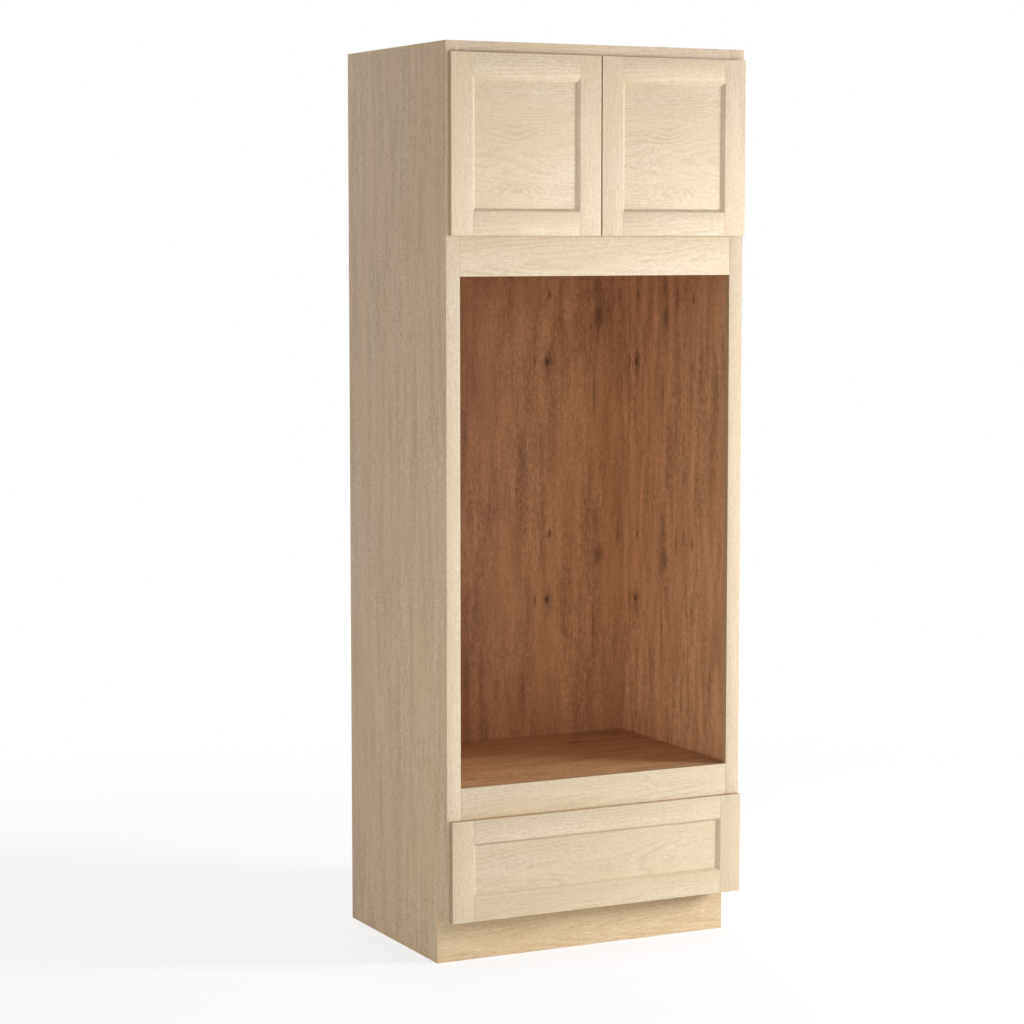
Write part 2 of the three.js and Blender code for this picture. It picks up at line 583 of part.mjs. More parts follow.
/** Base plate on the frame stile's inner edge, two ears that reach into the cup, and their pin. */
function hingeArm(side, height) {
  const { thickness, height: plateHeight, screwRadius, screwSpacing, edgeRoom } = ARM_PLATE;
  const pivot = hingePoint(side, ARM_PIVOT);
  const plateDepth = [FRAME_FRONT + edgeRoom, FRAME_BACK - edgeRoom];
  const plateAcross = hingeAcross(side, STILE_EDGE_IN, STILE_EDGE_IN + thickness);
  const plate = block(plateAcross, plateDepth, about(height, plateHeight / 2));
  const screwCentre = (plateDepth[0] + plateDepth[1]) / 2;
  const screws = EAR_SIDES.map((up) => {
    const across = [plateAcross[0] - 1, plateAcross[1] + 1];
    return rod([screwCentre, height + (up * screwSpacing) / 2], screwRadius, across, PIN_SIDES);
  });
  const earReach = STILE_FACE_DEPTH + ARM_EAR_REACH;
  const earOutline = [
    [ARM_PIVOT[0] - EYE_RADIUS, ARM_PIVOT[1]],
    [ARM_PIVOT[0] - EYE_RADIUS, STILE_FACE_DEPTH - 1],
    [STILE_EDGE_IN, STILE_FACE_DEPTH - RUNNING_GAP],
    [STILE_EDGE_IN, earReach],
    [ARM_PIVOT[0] + EYE_RADIUS, earReach - EYE_RADIUS],
    [ARM_PIVOT[0] + EYE_RADIUS, ARM_PIVOT[1]],
  ].map((point) => hingePoint(side, point));
  const ears = EAR_SIDES.flatMap((up) => [
    prismZ(earOutline, earHeight(height, up)),
    pillar(pivot, EYE_RADIUS, earHeight(height, up), PIN_SIDES),
  ]);
  const pin = pillar(pivot, PIN_RADIUS, about(height, EAR_OUTER - EAR_THICKNESS / 2), PIN_SIDES);
  return carve([plate, ...ears, pin], screws);
}

/** The link between the arm's pin and the cup's pin. */
function hingeLink(side, height) {
  const ends = [ARM_PIVOT, DOOR_PIVOT].map((point) => new THREE.Vector2(...hingePoint(side, point)));
  const across = ends[1].clone().sub(ends[0]).rotateAround(new THREE.Vector2(), Math.PI / 2);
  across.setLength(LINK_THICKNESS / 2);
  const barOutline = [
    ends[0].clone().add(across),
    ends[1].clone().add(across),
    ends[1].clone().sub(across),
    ends[0].clone().sub(across),
  ].map((point) => point.toArray());
  const reach = about(height, LINK_HALF_HEIGHT);
  const past = about(height, LINK_HALF_HEIGHT + 1);
  const eyes = ends.map((point) => pillar(point.toArray(), EYE_RADIUS, reach, PIN_SIDES));
  const holes = ends.map((point) => pillar(point.toArray(), EYE_BORE, past, PIN_SIDES));
  return carve([prismZ(barOutline, reach), ...eyes], holes);
}

function hinges(side) {
  const name = side === LEFT ? 'left_door' : 'right_door';
  return HINGES.flatMap(([place, height]) => [
    [`${name}_${place}_hinge_cup`, hingeCup(side, height), NICKEL],
    [`${name}_${place}_hinge_arm`, hingeArm(side, height), NICKEL],
    [`${name}_${place}_hinge_link`, hingeLink(side, height), NICKEL],
  ]);
}

// -------------------------------------------------------------------------------------- model

/** A sub-assembly as a group of named meshes. */
function assembly(pieces) {
  const group = new THREE.Group();
  for (const [name, geometry, material] of pieces) {
    const mesh = new THREE.Mesh(geometry, material);
    mesh.name = name;
    group.add(mesh);
  }
  return group;
}

const unit = new THREE.Group();
unit.add(assembly(faceFrame()));
unit.add(assembly(carcass()));
for (const side of [LEFT, RIGHT]) {
  unit.add(assembly(door(side)));
  unit.add(assembly(hinges(side)));
  unit.add(assembly(slide(side)));
}
unit.add(assembly(drawerFront()));
unit.add(assembly(drawerBox()));

export default unit;
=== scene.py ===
"""Tall oven housing unit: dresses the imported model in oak, walnut board, birch, steel and rubber.

Everything is in metres, in the model's own frame: +Z up, the fronts towards -Y, the origin on the
floor under the middle of the unit. Each sub-assembly is a class that builds and dresses its pieces.
"""
from __future__ import annotations

import logging
import math
from dataclasses import dataclass, field, replace
from enum import Enum
from typing import Any, Iterable, Optional, Sequence, Union

import bmesh
import bpy
from mathutils import Matrix, Vector

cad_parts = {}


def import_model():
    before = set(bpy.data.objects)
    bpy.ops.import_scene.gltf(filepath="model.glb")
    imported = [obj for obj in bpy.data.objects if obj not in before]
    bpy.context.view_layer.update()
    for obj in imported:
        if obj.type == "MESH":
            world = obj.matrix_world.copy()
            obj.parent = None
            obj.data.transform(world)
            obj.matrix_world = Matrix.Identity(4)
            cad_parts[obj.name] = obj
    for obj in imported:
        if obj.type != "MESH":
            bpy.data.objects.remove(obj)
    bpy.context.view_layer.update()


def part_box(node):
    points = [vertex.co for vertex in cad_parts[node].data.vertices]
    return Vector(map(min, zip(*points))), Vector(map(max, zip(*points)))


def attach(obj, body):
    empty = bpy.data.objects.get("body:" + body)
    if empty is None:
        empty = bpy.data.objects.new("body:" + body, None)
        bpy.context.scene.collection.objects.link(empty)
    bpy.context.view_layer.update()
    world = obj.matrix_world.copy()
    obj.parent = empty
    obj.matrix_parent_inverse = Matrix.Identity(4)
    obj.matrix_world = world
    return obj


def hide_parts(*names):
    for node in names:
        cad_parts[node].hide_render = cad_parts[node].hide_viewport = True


LOG = logging.getLogger("oven_housing")
MM = 0.001

Colour = tuple[float, float, float, float]
Socket = bpy.types.NodeSocket
Value = Union[float, Socket]
Pitch = tuple[float, float, float]  # features per metre along, across and through a board
Spots = list[tuple[Vector, Vector]]  # places, each with the way that it faces

WOOD_INDEX = 1.45  # refraction of oiled and printed wood
RUBBER_INDEX = 1.5
WIDE_BAND = (0.25, 0.75)  # between these a noise fades in softly
MIDDLE_BAND = (0.3, 0.7)
PORE_BAND = (0.58, 0.74)
FLAT_ANGLE = math.radians(0.4)  # faces that meet at less than this are one
SHARP_ANGLE = math.radians(35)
CORNER_MERGE = 0.001 * MM  # eased corners nearer than this become one


def tone(code: str) -> Colour:
    """Turns a written colour into the linear values that shaders use.

    Args:
        code: Six hexadecimal digits, red, green and blue.

    Returns:
        Red, green, blue and an alpha of 1, linear.
    """
    parts = [int(code[i : i + 2], 16) / 255 for i in (0, 2, 4)]
    linear = [p / 12.92 if p <= 0.04045 else ((p + 0.055) / 1.055) ** 2.4 for p in parts]
    return (linear[0], linear[1], linear[2], 1.0)


# --------------------------------------------------------------------------------- shader building


class Graph:
    """Adds nodes to a shader or geometry tree, a line for each step of a pattern."""

    def __init__(self, tree: bpy.types.NodeTree) -> None:
        """Keeps the tree that nodes are added to."""
        self.tree = tree

    def node(self, kind: str, inputs: Optional[dict[Any, Any]] = None, **settings: Any) -> bpy.types.Node:
        """Adds one node.

        Args:
            kind: The node's type name.
            inputs: Values or sockets for its inputs, by name or place.
            settings: Properties of the node itself.

        Returns:
            The new node.
        """
        made = self.tree.nodes.new(kind)
        for name, setting in settings.items():
            setattr(made, name, setting)
        for key, value in (inputs or {}).items():
            if isinstance(value, bpy.types.NodeSocket):
                self.tree.links.new(value, made.inputs[key])
            else:
                made.inputs[key].default_value = value
        return made

    def math(self, operation: str, first: Value, second: Value = 0.0, clamp: bool = False) -> Socket:
        """One arithmetic step on one or two numbers."""
        made = self.node("ShaderNodeMath", {0: first, 1: second}, operation=operation, use_clamp=clamp)
        return made.outputs[0]

    def vector(self, operation: str, *places: Any) -> Socket:
        """One arithmetic step on places; a length is a number, all else a place."""
        made = self.node("ShaderNodeVectorMath", dict(enumerate(places)), operation=operation)
        return made.outputs["Value" if operation == "LENGTH" else "Vector"]

    def stretch(self, place: Socket, factors: Sequence[float]) -> Socket:
        """Multiplies a place by a factor on each axis."""
        return self.vector("MULTIPLY", place, tuple(factors))

    def axis(self, place: Socket, which: int) -> Socket:
        """One of a place's three numbers."""
        return self.node("ShaderNodeSeparateXYZ", {0: place}).outputs[which]

    def join(self, x: Value = 0.0, y: Value = 0.0, z: Value = 0.0) -> Socket:
        """A place made of three numbers."""
        return self.node("ShaderNodeCombineXYZ", {0: x, 1: y, 2: z}).outputs[0]

    def weigh(self, *parts: tuple[Value, float]) -> Socket:
        """Adds up some values, each times its share."""
        value, share = parts[0]
        total = self.math("MULTIPLY", value, share)
        for value, share in parts[1:]:
            total = self.math("ADD", total, self.math("MULTIPLY", value, share))
        return total

    def noise(self, place: Socket, factors: Sequence[float], detail: float, rough: float = 0.5) -> Socket:
        """Smooth noise from 0 to 1.

        Args:
            place: The place that the noise is read at.
            factors: Features per metre along each axis.
            detail: Octaves of finer noise.
            rough: Strength of each finer octave.

        Returns:
            The noise's value.
        """
        inputs = {"Vector": self.stretch(place, factors), "Scale": 1.0, "Detail": detail, "Roughness": rough}
        return self.node("ShaderNodeTexNoise", inputs).outputs[0]

    def fade(self, value: Socket, low: float, high: float, start: float = 0.0, end: float = 1.0) -> Socket:
        """A smooth step of a value from one limit to the other."""
        made = self.node("ShaderNodeMapRange", interpolation_type="SMOOTHSTEP")
        self.tree.links.new(value, made.inputs["Value"])
        for name, limit in (("From Min", low), ("From Max", high), ("To Min", start), ("To Max", end)):
            made.inputs[name].default_value = limit
        return made.outputs["Result"]

    def blend(self, share: Value, first: Any, second: Any, mode: str = "MIX") -> Socket:
        """Mixes two colours.

        Args:
            share: How much of the second colour.
            first: A colour or a socket.
            second: A colour or a socket.
            mode: The way of mixing.

        Returns:
            The mixed colour.
        """
        inputs = {0: share, 6: first, 7: second}
        return self.node("ShaderNodeMix", inputs, data_type="RGBA", blend_type=mode).outputs[2]

    def in_axes(self, turn: Matrix, shift: Sequence[float] = (0.0, 0.0, 0.0)) -> Socket:
        """The place of each point of a piece, turned into a board's axes and then shifted."""
        where = self.node("ShaderNodeTexCoord").outputs["Object"]
        inputs = {"Vector": where, "Location": shift, "Rotation": turn.to_euler("XYZ")}
        return self.node("ShaderNodeMapping", inputs).outputs[0]

    def surface(
        self, colour: Socket, rough: Socket, height: Socket, relief: tuple[float, float], **plain: float
    ) -> None:
        """Ends a material with one bumped surface.

        Args:
            colour: Its colour.
            rough: Its roughness.
            height: The height that the bump follows.
            relief: The bump's strength, and its depth in metres.
            plain: A number for each other socket, by the socket's name.
        """
        strength, depth = relief
        bump = self.node("ShaderNodeBump", {"Height": height, "Strength": strength, "Distance": depth})
        inputs = {"Base Color": colour, "Roughness": rough, "Normal": bump.outputs[0], **plain}
        shader = self.node("ShaderNodeBsdfPrincipled", inputs)
        self.node("ShaderNodeOutputMaterial", {"Surface": shader.outputs[0]})


def blank_material(name: str) -> tuple[bpy.types.Material, Graph]:
    """Makes a material whose tree is still empty.

    Args:
        name: The material's name.

    Returns:
        The material and the graph of its tree.
    """
    made = bpy.data.materials.new(name)
    made.use_nodes = True
    made.node_tree.nodes.clear()
    return made, Graph(made.node_tree)


class Grain(Enum):
    """Where a board's grain and face point: the rows give [along, across, through] in the unit's axes."""

    UPRIGHT_FRONT = ((0, 0, 1), (1, 0, 0), (0, 1, 0))
    LEVEL_FRONT = ((1, 0, 0), (0, 0, 1), (0, -1, 0))
    UPRIGHT_SIDE = ((0, 0, 1), (0, 1, 0), (-1, 0, 0))
    DEEP_SIDE = ((0, 1, 0), (0, 0, 1), (1, 0, 0))
    LEVEL_FLOOR = ((1, 0, 0), (0, 1, 0), (0, 0, 1))

    @property
    def turn(self) -> Matrix:
        """The rotation from the unit's axes to the board's."""
        return Matrix(self.value)

    @property
    def through(self) -> Vector:
        """The direction through the board's thickness, in the unit's axes."""
        return Vector(self.value[2])


@dataclass(frozen=True)
class Cut:
    """How a board was cut from its tree.

    Attributes:
        along: Metres along the trunk, which picks another stretch of the same pattern.
        heart_across: The heart of the tree, across from the board's middle.
        heart_depth: The heart of the tree, behind the board.
        lean: Degrees between the board and the heart, which draws the rings into arches.
    """

    along: float = 0.0
    heart_across: float = 0.15
    heart_depth: float = 0.12
    lean: float = 1.5


@dataclass(frozen=True)
class Figure:
    """A place where the grain swells round itself, in the board's own axes from its middle.

    Attributes:
        along: Middle of the figure along the grain.
        across: Middle of the figure across the grain.
        length: Reach along the grain.
        width: Reach across the grain.
        swell: How far it pushes the rings.
    """

    along: float
    across: float
    length: float
    width: float
    swell: float


@dataclass(frozen=True)
class Mark:
    """A knot or dark smear on a printed sheet.

    Attributes:
        along: Place along the grain, in the sheet's axes.
        across: Place across the grain.
        length: Reach along the grain.
        width: Reach across the grain.
        share: How dark it is, up to 1.
    """

    along: float
    across: float
    length: float
    width: float
    share: float


@dataclass(frozen=True)
class Sheet:
    """How a printed sheet lies on a board.

    Attributes:
        along: The sheet's own height at the unit's zero.
        across: The sheet's own place across at the unit's zero.
        hand: -1 where the sheet runs the other way across.
    """

    along: float = 0.0
    across: float = 0.0
    hand: int = 1


@dataclass(frozen=True)
class WoodFinish:
    """Wood with rings, fibres, pores, broad streaks and, where it has them, knots.

    A share says how much its layer darkens the wood, and a pitch how fine the layer is.

    Attributes:
        name: The finish's name.
        slot: The record's material slot.
        light: Written colour of the palest wood.
        dark: Written colour of the darkest wood.
        blush: Written colour of the broad clouds.
        ring_spacing: From one ring to the next.
        late_wood: Shares of a ring at which it starts to darken and is darkest.
        wander: How far the rings drift over a hand's width.
        ripple: How far they tremble over a finger's width.
        full_swell: A figure's swell at which the rings show in full.
        marks: Knots and smears of a printed sheet.
        mark_limit: The darkest that marks may become together.
        ragged_reach: How far a mark's outline strays.
        repeat: The printed sheet comes round again after this.
        relief: Depth of the grain.
        edge: What the board's edges show, if not the same as its faces; for most oak boards a darker, browner
            copy that paints the shade and brown bounce light the edges get.
    """

    name: str
    slot: str
    light: str
    dark: str
    blush: str
    ring_spacing: float = 6 * MM
    ring_share: float = 0.3
    ring_pitch: Pitch = (7, 40, 40)
    late_wood: tuple[float, float] = (0.15, 0.8)
    wander: float = 9 * MM
    wander_pitch: Pitch = (2.4, 11, 11)
    ripple: float = 1.6 * MM
    ripple_pitch: Pitch = (14, 75, 75)
    full_swell: float = 12 * MM
    swell_share: float = 1.4
    fibre_share: float = 0.35
    fibre_pitch: Pitch = (38, 300, 300)
    streak_share: float = 0.25
    streak_pitch: Pitch = (3.5, 34, 34)
    fleck_share: float = 0.12
    fleck_pitch: Pitch = (95, 230, 230)
    pore_share: float = 0.25
    pore_pitch: Pitch = (55, 520, 520)
    cloud_share: float = 0.35
    cloud_pitch: Pitch = (2.5, 9, 9)
    marks: tuple[Mark, ...] = ()
    mark_tone: str = "35200F"
    mark_limit: float = 0.92
    ragged_pitch: Pitch = (22, 110, 0)
    ragged_reach: tuple[float, float, float] = (0.03, 0.012, 0.0)
    repeat: float = 0.65
    roughness: float = 0.6
    relief: float = 0.12 * MM
    relief_strength: float = 0.6
    edge: Optional["WoodFinish"] = None

    def _darkening(self, graph: Graph, spot: Socket) -> Socket:
        """Adds up the marks of the printed sheet, which comes round again at its repeat.

        Args:
            graph: The group that is being built.
            spot: The place in the sheet's axes.

        Returns:
            How dark the marks make each place.
        """
        inputs = {"Vector": graph.stretch(spot, self.ragged_pitch), "Scale": 1.0, "Detail": 3.0}
        ragged = graph.node("ShaderNodeTexNoise", inputs).outputs["Color"]
        bent = graph.vector("ADD", spot, graph.stretch(ragged, self.ragged_reach))
        bent = graph.vector("ADD", bent, tuple(-0.5 * reach for reach in self.ragged_reach))
        half = self.repeat / 2
        total: Optional[Socket] = None
        for mark in self.marks:
            lead = graph.vector("ADD", bent, (-mark.along, -mark.across, 0.0))
            near = graph.vector("WRAP", lead, (-half, -half, -1.0), (half, half, 1.0))
            apart = graph.vector("LENGTH", graph.stretch(near, (1 / mark.length, 1 / mark.width, 0.0)))
            dark = graph.fade(apart, 1.0, 0.0, 0.0, mark.share)
            total = dark if total is None else graph.math("ADD", total, dark)
        return graph.math("MINIMUM", total, self.mark_limit)

    def figure(self) -> bpy.types.NodeTree:
        """Builds the pattern of this wood, read at a place given in the board's axes.

        Returns:
            A node group that gives a colour, a roughness and a height.
        """
        name = f"{self.name} figure"
        if name in bpy.data.node_groups:
            return bpy.data.node_groups[name]
        tree = bpy.data.node_groups.new(name, "ShaderNodeTree")
        for label, kind in (("Place", "Vector"), ("Swell", "Float"), ("Spot", "Vector")):
            tree.interface.new_socket(label, in_out="INPUT", socket_type=f"NodeSocket{kind}")
        for label, kind in (("Colour", "Color"), ("Roughness", "Float"), ("Height", "Float")):
            tree.interface.new_socket(label, in_out="OUTPUT", socket_type=f"NodeSocket{kind}")
        graph = Graph(tree)
        entry = graph.node("NodeGroupInput")
        place, swell = entry.outputs["Place"], entry.outputs["Swell"]

        wander = graph.math("SUBTRACT", graph.noise(place, self.wander_pitch, 2), 0.5)
        ripple = graph.math("SUBTRACT", graph.noise(place, self.ripple_pitch, 2), 0.5)
        drift = graph.weigh((wander, self.wander * 2), (ripple, self.ripple * 2))
        radius = graph.vector("LENGTH", graph.stretch(place, (0, 1, 1)))
        radius = graph.math("ADD", graph.math("ADD", radius, drift), swell)

        fibre = graph.fade(graph.noise(place, self.fibre_pitch, 3, 0.65), *WIDE_BAND)
        streak = graph.fade(graph.noise(place, self.streak_pitch, 3, 0.55), *WIDE_BAND)
        fleck = graph.fade(graph.noise(place, self.fleck_pitch, 3, 0.65), *MIDDLE_BAND)
        pore = graph.fade(graph.noise(place, self.pore_pitch, 1), *PORE_BAND)
        cloud = graph.noise(place, self.cloud_pitch, 2)
        marked: Optional[Socket] = None
        if self.marks:
            marked = self._darkening(graph, entry.outputs["Spot"])
            radius = graph.math("ADD", radius, graph.math("MULTIPLY", marked, self.wander))
        ring = graph.math("FRACT", graph.math("DIVIDE", radius, self.ring_spacing))
        start, darkest = self.late_wood
        late = graph.math("MULTIPLY", graph.fade(ring, start, darkest), graph.fade(ring, 1.0, darkest))
        shown = graph.fade(graph.noise(place, self.ring_pitch, 2), 0.35, 0.62, 0.2, 1.0)
        shown = graph.math("ADD", shown, graph.fade(swell, 0.0, self.full_swell, 0.0, self.swell_share))
        rings = graph.math("MULTIPLY", late, shown)

        depth = graph.weigh(
            (rings, self.ring_share),
            (fibre, self.fibre_share),
            (streak, self.streak_share),
            (fleck, self.fleck_share),
            (pore, self.pore_share),
        )
        colour = graph.blend(graph.math("MINIMUM", depth, 1.0), tone(self.light), tone(self.dark))
        colour = graph.blend(graph.fade(cloud, 0.35, 0.7, 0.0, self.cloud_share), colour, tone(self.blush))
        if marked is not None:
            colour = graph.blend(marked, colour, tone(self.mark_tone))

        height = graph.weigh((fibre, -0.4), (pore, -1.0), (rings, 0.35))
        rough = graph.math("ADD", graph.math("MULTIPLY", fibre, 0.08), self.roughness - 0.04)
        rough = graph.math("ADD", rough, graph.math("MULTIPLY", pore, 0.12))
        graph.node("NodeGroupOutput", {"Colour": colour, "Roughness": rough, "Height": height})
        return tree

    def material(
        self,
        name: str,
        grain: Grain,
        middle: Vector,
        cut: Cut,
        figures: Sequence[Figure] = (),
        sheet: Sheet = Sheet(),
    ) -> bpy.types.Material:
        """Wears this wood on one board.

        Args:
            name: The material's name.
            grain: The way the grain runs.
            middle: The board's middle, in the unit's axes.
            cut: How the board was cut.
            figures: Places where the grain swells.
            sheet: How a printed sheet lies on the board.

        Returns:
            The board's own material.
        """
        made, graph = blank_material(name)
        turn = Matrix.Rotation(math.radians(cut.lean), 3, "Y") @ grain.turn
        heart = Vector((cut.along, cut.heart_across, cut.heart_depth))
        place = graph.in_axes(turn, heart - turn @ middle)
        wood = graph.node("ShaderNodeGroup", node_tree=self.figure())
        links = made.node_tree.links
        links.new(place, wood.inputs["Place"])
        if self.marks:
            turned = graph.stretch(graph.in_axes(grain.turn), (1, sheet.hand, 0))
            links.new(graph.vector("ADD", turned, (sheet.along, sheet.across, 0)), wood.inputs["Spot"])
        swell: Optional[Socket] = None
        for spot in figures:
            scale = Vector((1 / spot.length, 1 / spot.width, 0))
            target = Vector((heart.x + spot.along, heart.y + spot.across, 0))
            inputs = {"Vector": place, "Location": -target * scale, "Scale": scale}
            reach = graph.vector("LENGTH", graph.node("ShaderNodeMapping", inputs).outputs[0])
            bump = graph.math("MULTIPLY", graph.math("SUBTRACT", 1.0, reach, clamp=True), spot.swell)
            swell = bump if swell is None else graph.math("ADD", swell, bump)
        if swell is not None:
            links.new(swell, wood.inputs["Swell"])
        colour, rough, height = (wood.outputs[label] for label in ("Colour", "Roughness", "Height"))
        graph.surface(colour, rough, height, (self.relief_strength, self.relief), IOR=WOOD_INDEX)
        return made


@dataclass(frozen=True)
class EdgeFinish:
    """The sawn edge of a laminated board: plies of alternating grain, seen as stripes."""

    name: str = "ply edge"
    light: str = "E2C89C"
    dark: str = "A57F52"
    ply: float = 1.9 * MM
    glue_line: tuple[float, float] = (0.42, 0.58)
    waver: float = 0.5 * MM
    waver_pitch: Pitch = (9, 9, 40)
    fibre_pitch: Pitch = (260, 260, 1400)
    fibre_share: float = 0.6
    roughness: float = 0.68
    relief: tuple[float, float] = (0.5, 0.15 * MM)

    def material(self, name: str, grain: Grain, middle: Vector) -> bpy.types.Material:
        """Wears the stripes on one board, level with its faces.

        Args:
            name: The material's name.
            grain: The way the board's face grain runs.
            middle: The board's middle, in the unit's axes.

        Returns:
            The edge's material.
        """
        made, graph = blank_material(name)
        place = graph.in_axes(grain.turn, -(grain.turn @ middle))
        waver = graph.math("SUBTRACT", graph.noise(place, self.waver_pitch, 2), 0.5)
        level = graph.math("ADD", graph.axis(place, 2), graph.math("MULTIPLY", waver, self.waver))
        phase = graph.math("PINGPONG", graph.math("ADD", level, self.ply / 2), self.ply)
        stripe = graph.fade(phase, *(self.ply * share for share in self.glue_line))
        fibre = graph.fade(graph.noise(place, self.fibre_pitch, 3, 0.7), *MIDDLE_BAND)
        share = graph.math("ADD", stripe, graph.math("MULTIPLY", fibre, self.fibre_share))
        colour = graph.blend(graph.math("MULTIPLY", share, 0.6), tone(self.light), tone(self.dark))
        rough = graph.math("ADD", graph.math("MULTIPLY", fibre, 0.14), self.roughness)
        graph.surface(colour, rough, fibre, self.relief, IOR=WOOD_INDEX)
        return made


@dataclass(frozen=True)
class MetalFinish:
    """Plated steel with a rolled or pressed skin, mottled in broad soft patches."""

    name: str
    slot: str
    light: str
    dark: str
    roughness: float
    brushed: Pitch = (40, 40, 40)
    handled: Pitch = (18, 18, 18)
    spangle: float = 0.0
    spangle_pitch: float = 140.0
    relief: tuple[float, float] = (0.35, 0.05 * MM)

    def material(self) -> bpy.types.Material:
        """Builds the finish once and gives it again after that."""
        if self.name in bpy.data.materials:
            return bpy.data.materials[self.name]
        made, graph = blank_material(self.name)
        place = graph.node("ShaderNodeTexCoord").outputs["Object"]
        rolled = graph.fade(graph.noise(place, self.brushed, 4, 0.65), *MIDDLE_BAND)
        handled = graph.fade(graph.noise(place, self.handled, 3), 0.4, 0.7)
        share = graph.weigh((rolled, 0.45), (handled, 0.35))
        if self.spangle:
            inputs = {"Vector": place, "Scale": self.spangle_pitch}
            cells = graph.node("ShaderNodeTexVoronoi", inputs, voronoi_dimensions="3D")
            grey = graph.node("ShaderNodeSeparateColor", {0: cells.outputs["Color"]}).outputs[0]
            share = graph.math("ADD", share, graph.math("MULTIPLY", grey, self.spangle))
        colour = graph.blend(graph.math("MINIMUM", share, 1.0), tone(self.light), tone(self.dark))
        rough = graph.math("ADD", graph.math("MULTIPLY", rolled, 0.12), self.roughness - 0.04)
        rough = graph.math("ADD", rough, graph.math("MULTIPLY", handled, 0.08))
        graph.surface(colour, rough, rolled, self.relief, Metallic=1.0)
        return made


@dataclass(frozen=True)
class RubberFinish:
    """Soft clear-grey bumper rubber with a dusty skin."""

    name: str = "bumper rubber"
    light: str = "C9C6BE"
    dark: str = "A9A59B"
    dust_pitch: Pitch = (420, 420, 420)
    roughness: float = 0.35
    relief: tuple[float, float] = (0.3, 0.04 * MM)

    def material(self) -> bpy.types.Material:
        """Builds the finish once and gives it again after that."""
        if self.name in bpy.data.materials:
            return bpy.data.materials[self.name]
        made, graph = blank_material(self.name)
        place = graph.node("ShaderNodeTexCoord").outputs["Object"]
        dust = graph.fade(graph.noise(place, self.dust_pitch, 3), 0.35, 0.7)
        colour = graph.blend(dust, tone(self.light), tone(self.dark))
        rough = graph.math("ADD", graph.math("MULTIPLY", dust, 0.25), self.roughness)
        graph.surface(colour, rough, dust, self.relief, IOR=RUBBER_INDEX)
        return made


# Painted shade: a darker, browner oak for the edge faces of boards, standing in for the shade and the brown
# bounce light that those edges get.
OAK_SHADED_EDGE = WoodFinish(
    "oak shaded edge", "light_oak", light="C9AE88", dark="9C784F", blush="B8976E",
    ring_share=0.12, fibre_share=0.34, streak_share=0.2, pore_share=0.2,
)
OAK = WoodFinish(
    "light oak", "light_oak", light="E1D4BA", dark="B79A75", blush="DABC97",
    ring_spacing=4.6 * MM, ring_share=0.21, fibre_share=0.16, streak_share=0.1, fleck_share=0.28,
    pore_share=0.18, cloud_share=0.38, edge=OAK_SHADED_EDGE,
)
TOE_OAK = WoodFinish(
    "toe oak", "light_oak", light="E5CFAB", dark="B38F65", blush="D8B98C",
    ring_share=0.18, fibre_share=0.28, streak_share=0.14, fleck_share=0.2, pore_share=0.22,
)
OAK_END = WoodFinish(
    "oak end panel", "oak_end_panel", light="EFDCB9", dark="A7855B", blush="DDBD97",
    ring_share=0.06, fibre_share=0.24, streak_share=0.24, fleck_share=0.4, fleck_pitch=(170, 290, 290),
    pore_share=0.28, cloud_share=0.45,
)
FRAME_OAK = replace(OAK, name="frame oak", edge=OAK_END)
WALNUT = WoodFinish(
    "walnut board", "walnut_board", light="DAA475", dark="7C4E2F", blush="BB8558",
    ring_spacing=9 * MM, ring_share=0.06, wander=14 * MM, fibre_share=0.22, streak_share=0.4,
    fibre_pitch=(30, 260, 260), streak_pitch=(4.5, 32, 32), fleck_share=0.3, fleck_pitch=(75, 130, 130),
    pore_share=0.1, cloud_share=0.5, mark_tone="47290F", roughness=0.5, relief=0.08 * MM,
    marks=(
        Mark(1.656, 0.165, 0.022, 0.009, 0.7),
        Mark(1.478, 0.157, 0.014, 0.008, 0.66),
        Mark(1.478, 0.160, 0.034, 0.022, 0.26),
        Mark(1.470, 0.160, 0.075, 0.024, 0.3),
        Mark(1.475, 0.121, 0.036, 0.007, 0.5),
        Mark(1.597, 0.319, 0.046, 0.026, 0.4),
        Mark(1.585, 0.312, 0.140, 0.034, 0.24),
        Mark(1.690, 0.311, 0.070, 0.028, 0.4),
        Mark(1.380, 0.303, 0.150, 0.007, 0.4),
        Mark(1.650, 0.380, 0.055, 0.014, 0.42),
        Mark(1.212, 0.084, 0.120, 0.018, 0.3),
        Mark(1.400, -0.060, 0.140, 0.040, 0.2),
        Mark(1.652, 0.464, 0.026, 0.010, 0.65),
        Mark(1.470, 0.464, 0.018, 0.012, 0.38),
        Mark(1.668, 0.420, 0.050, 0.006, 0.5),
        Mark(1.290, 0.560, 0.110, 0.020, 0.25),
    ),
)
# Painted light: a lighter copy of the walnut for the bay's right wall, standing in for the extra light that
# falls on it.
WALNUT_LIT_WALL = replace(WALNUT, name="walnut lit wall", light="F3C192", dark="815538", blush="D09E73")
# Painted light: a lighter copy of the walnut for the oven floor, standing in for the extra light that falls
# on it.
WALNUT_LIT_FLOOR = replace(WALNUT, name="walnut lit floor", light="DCB081", dark="825837", blush="C39366")
BIRCH = WoodFinish(
    "birch", "birch", light="EBD6AE", dark="CDA97A", blush="E4C596",
    ring_spacing=8 * MM, ring_share=0.2, fibre_share=0.28, pore_share=0.12, roughness=0.5,
)
RAW_PLY = WoodFinish(
    "raw ply", "birch", light="E8D2AC", dark="BF9A6C", blush="D8B888",
    ring_spacing=11 * MM, ring_share=0.34, wander=16 * MM, fibre_share=0.4, roughness=0.7,
)
PLY_EDGE = EdgeFinish()
ZINC = MetalFinish("zinc plate", "zinc_steel", "C4C7C9", "8E9497", 0.34, (60, 4, 60), spangle=0.25)
NICKEL = MetalFinish("nickel plate", "nickel_steel", "D0CCC4", "A39F97", 0.26, (90, 90, 90))
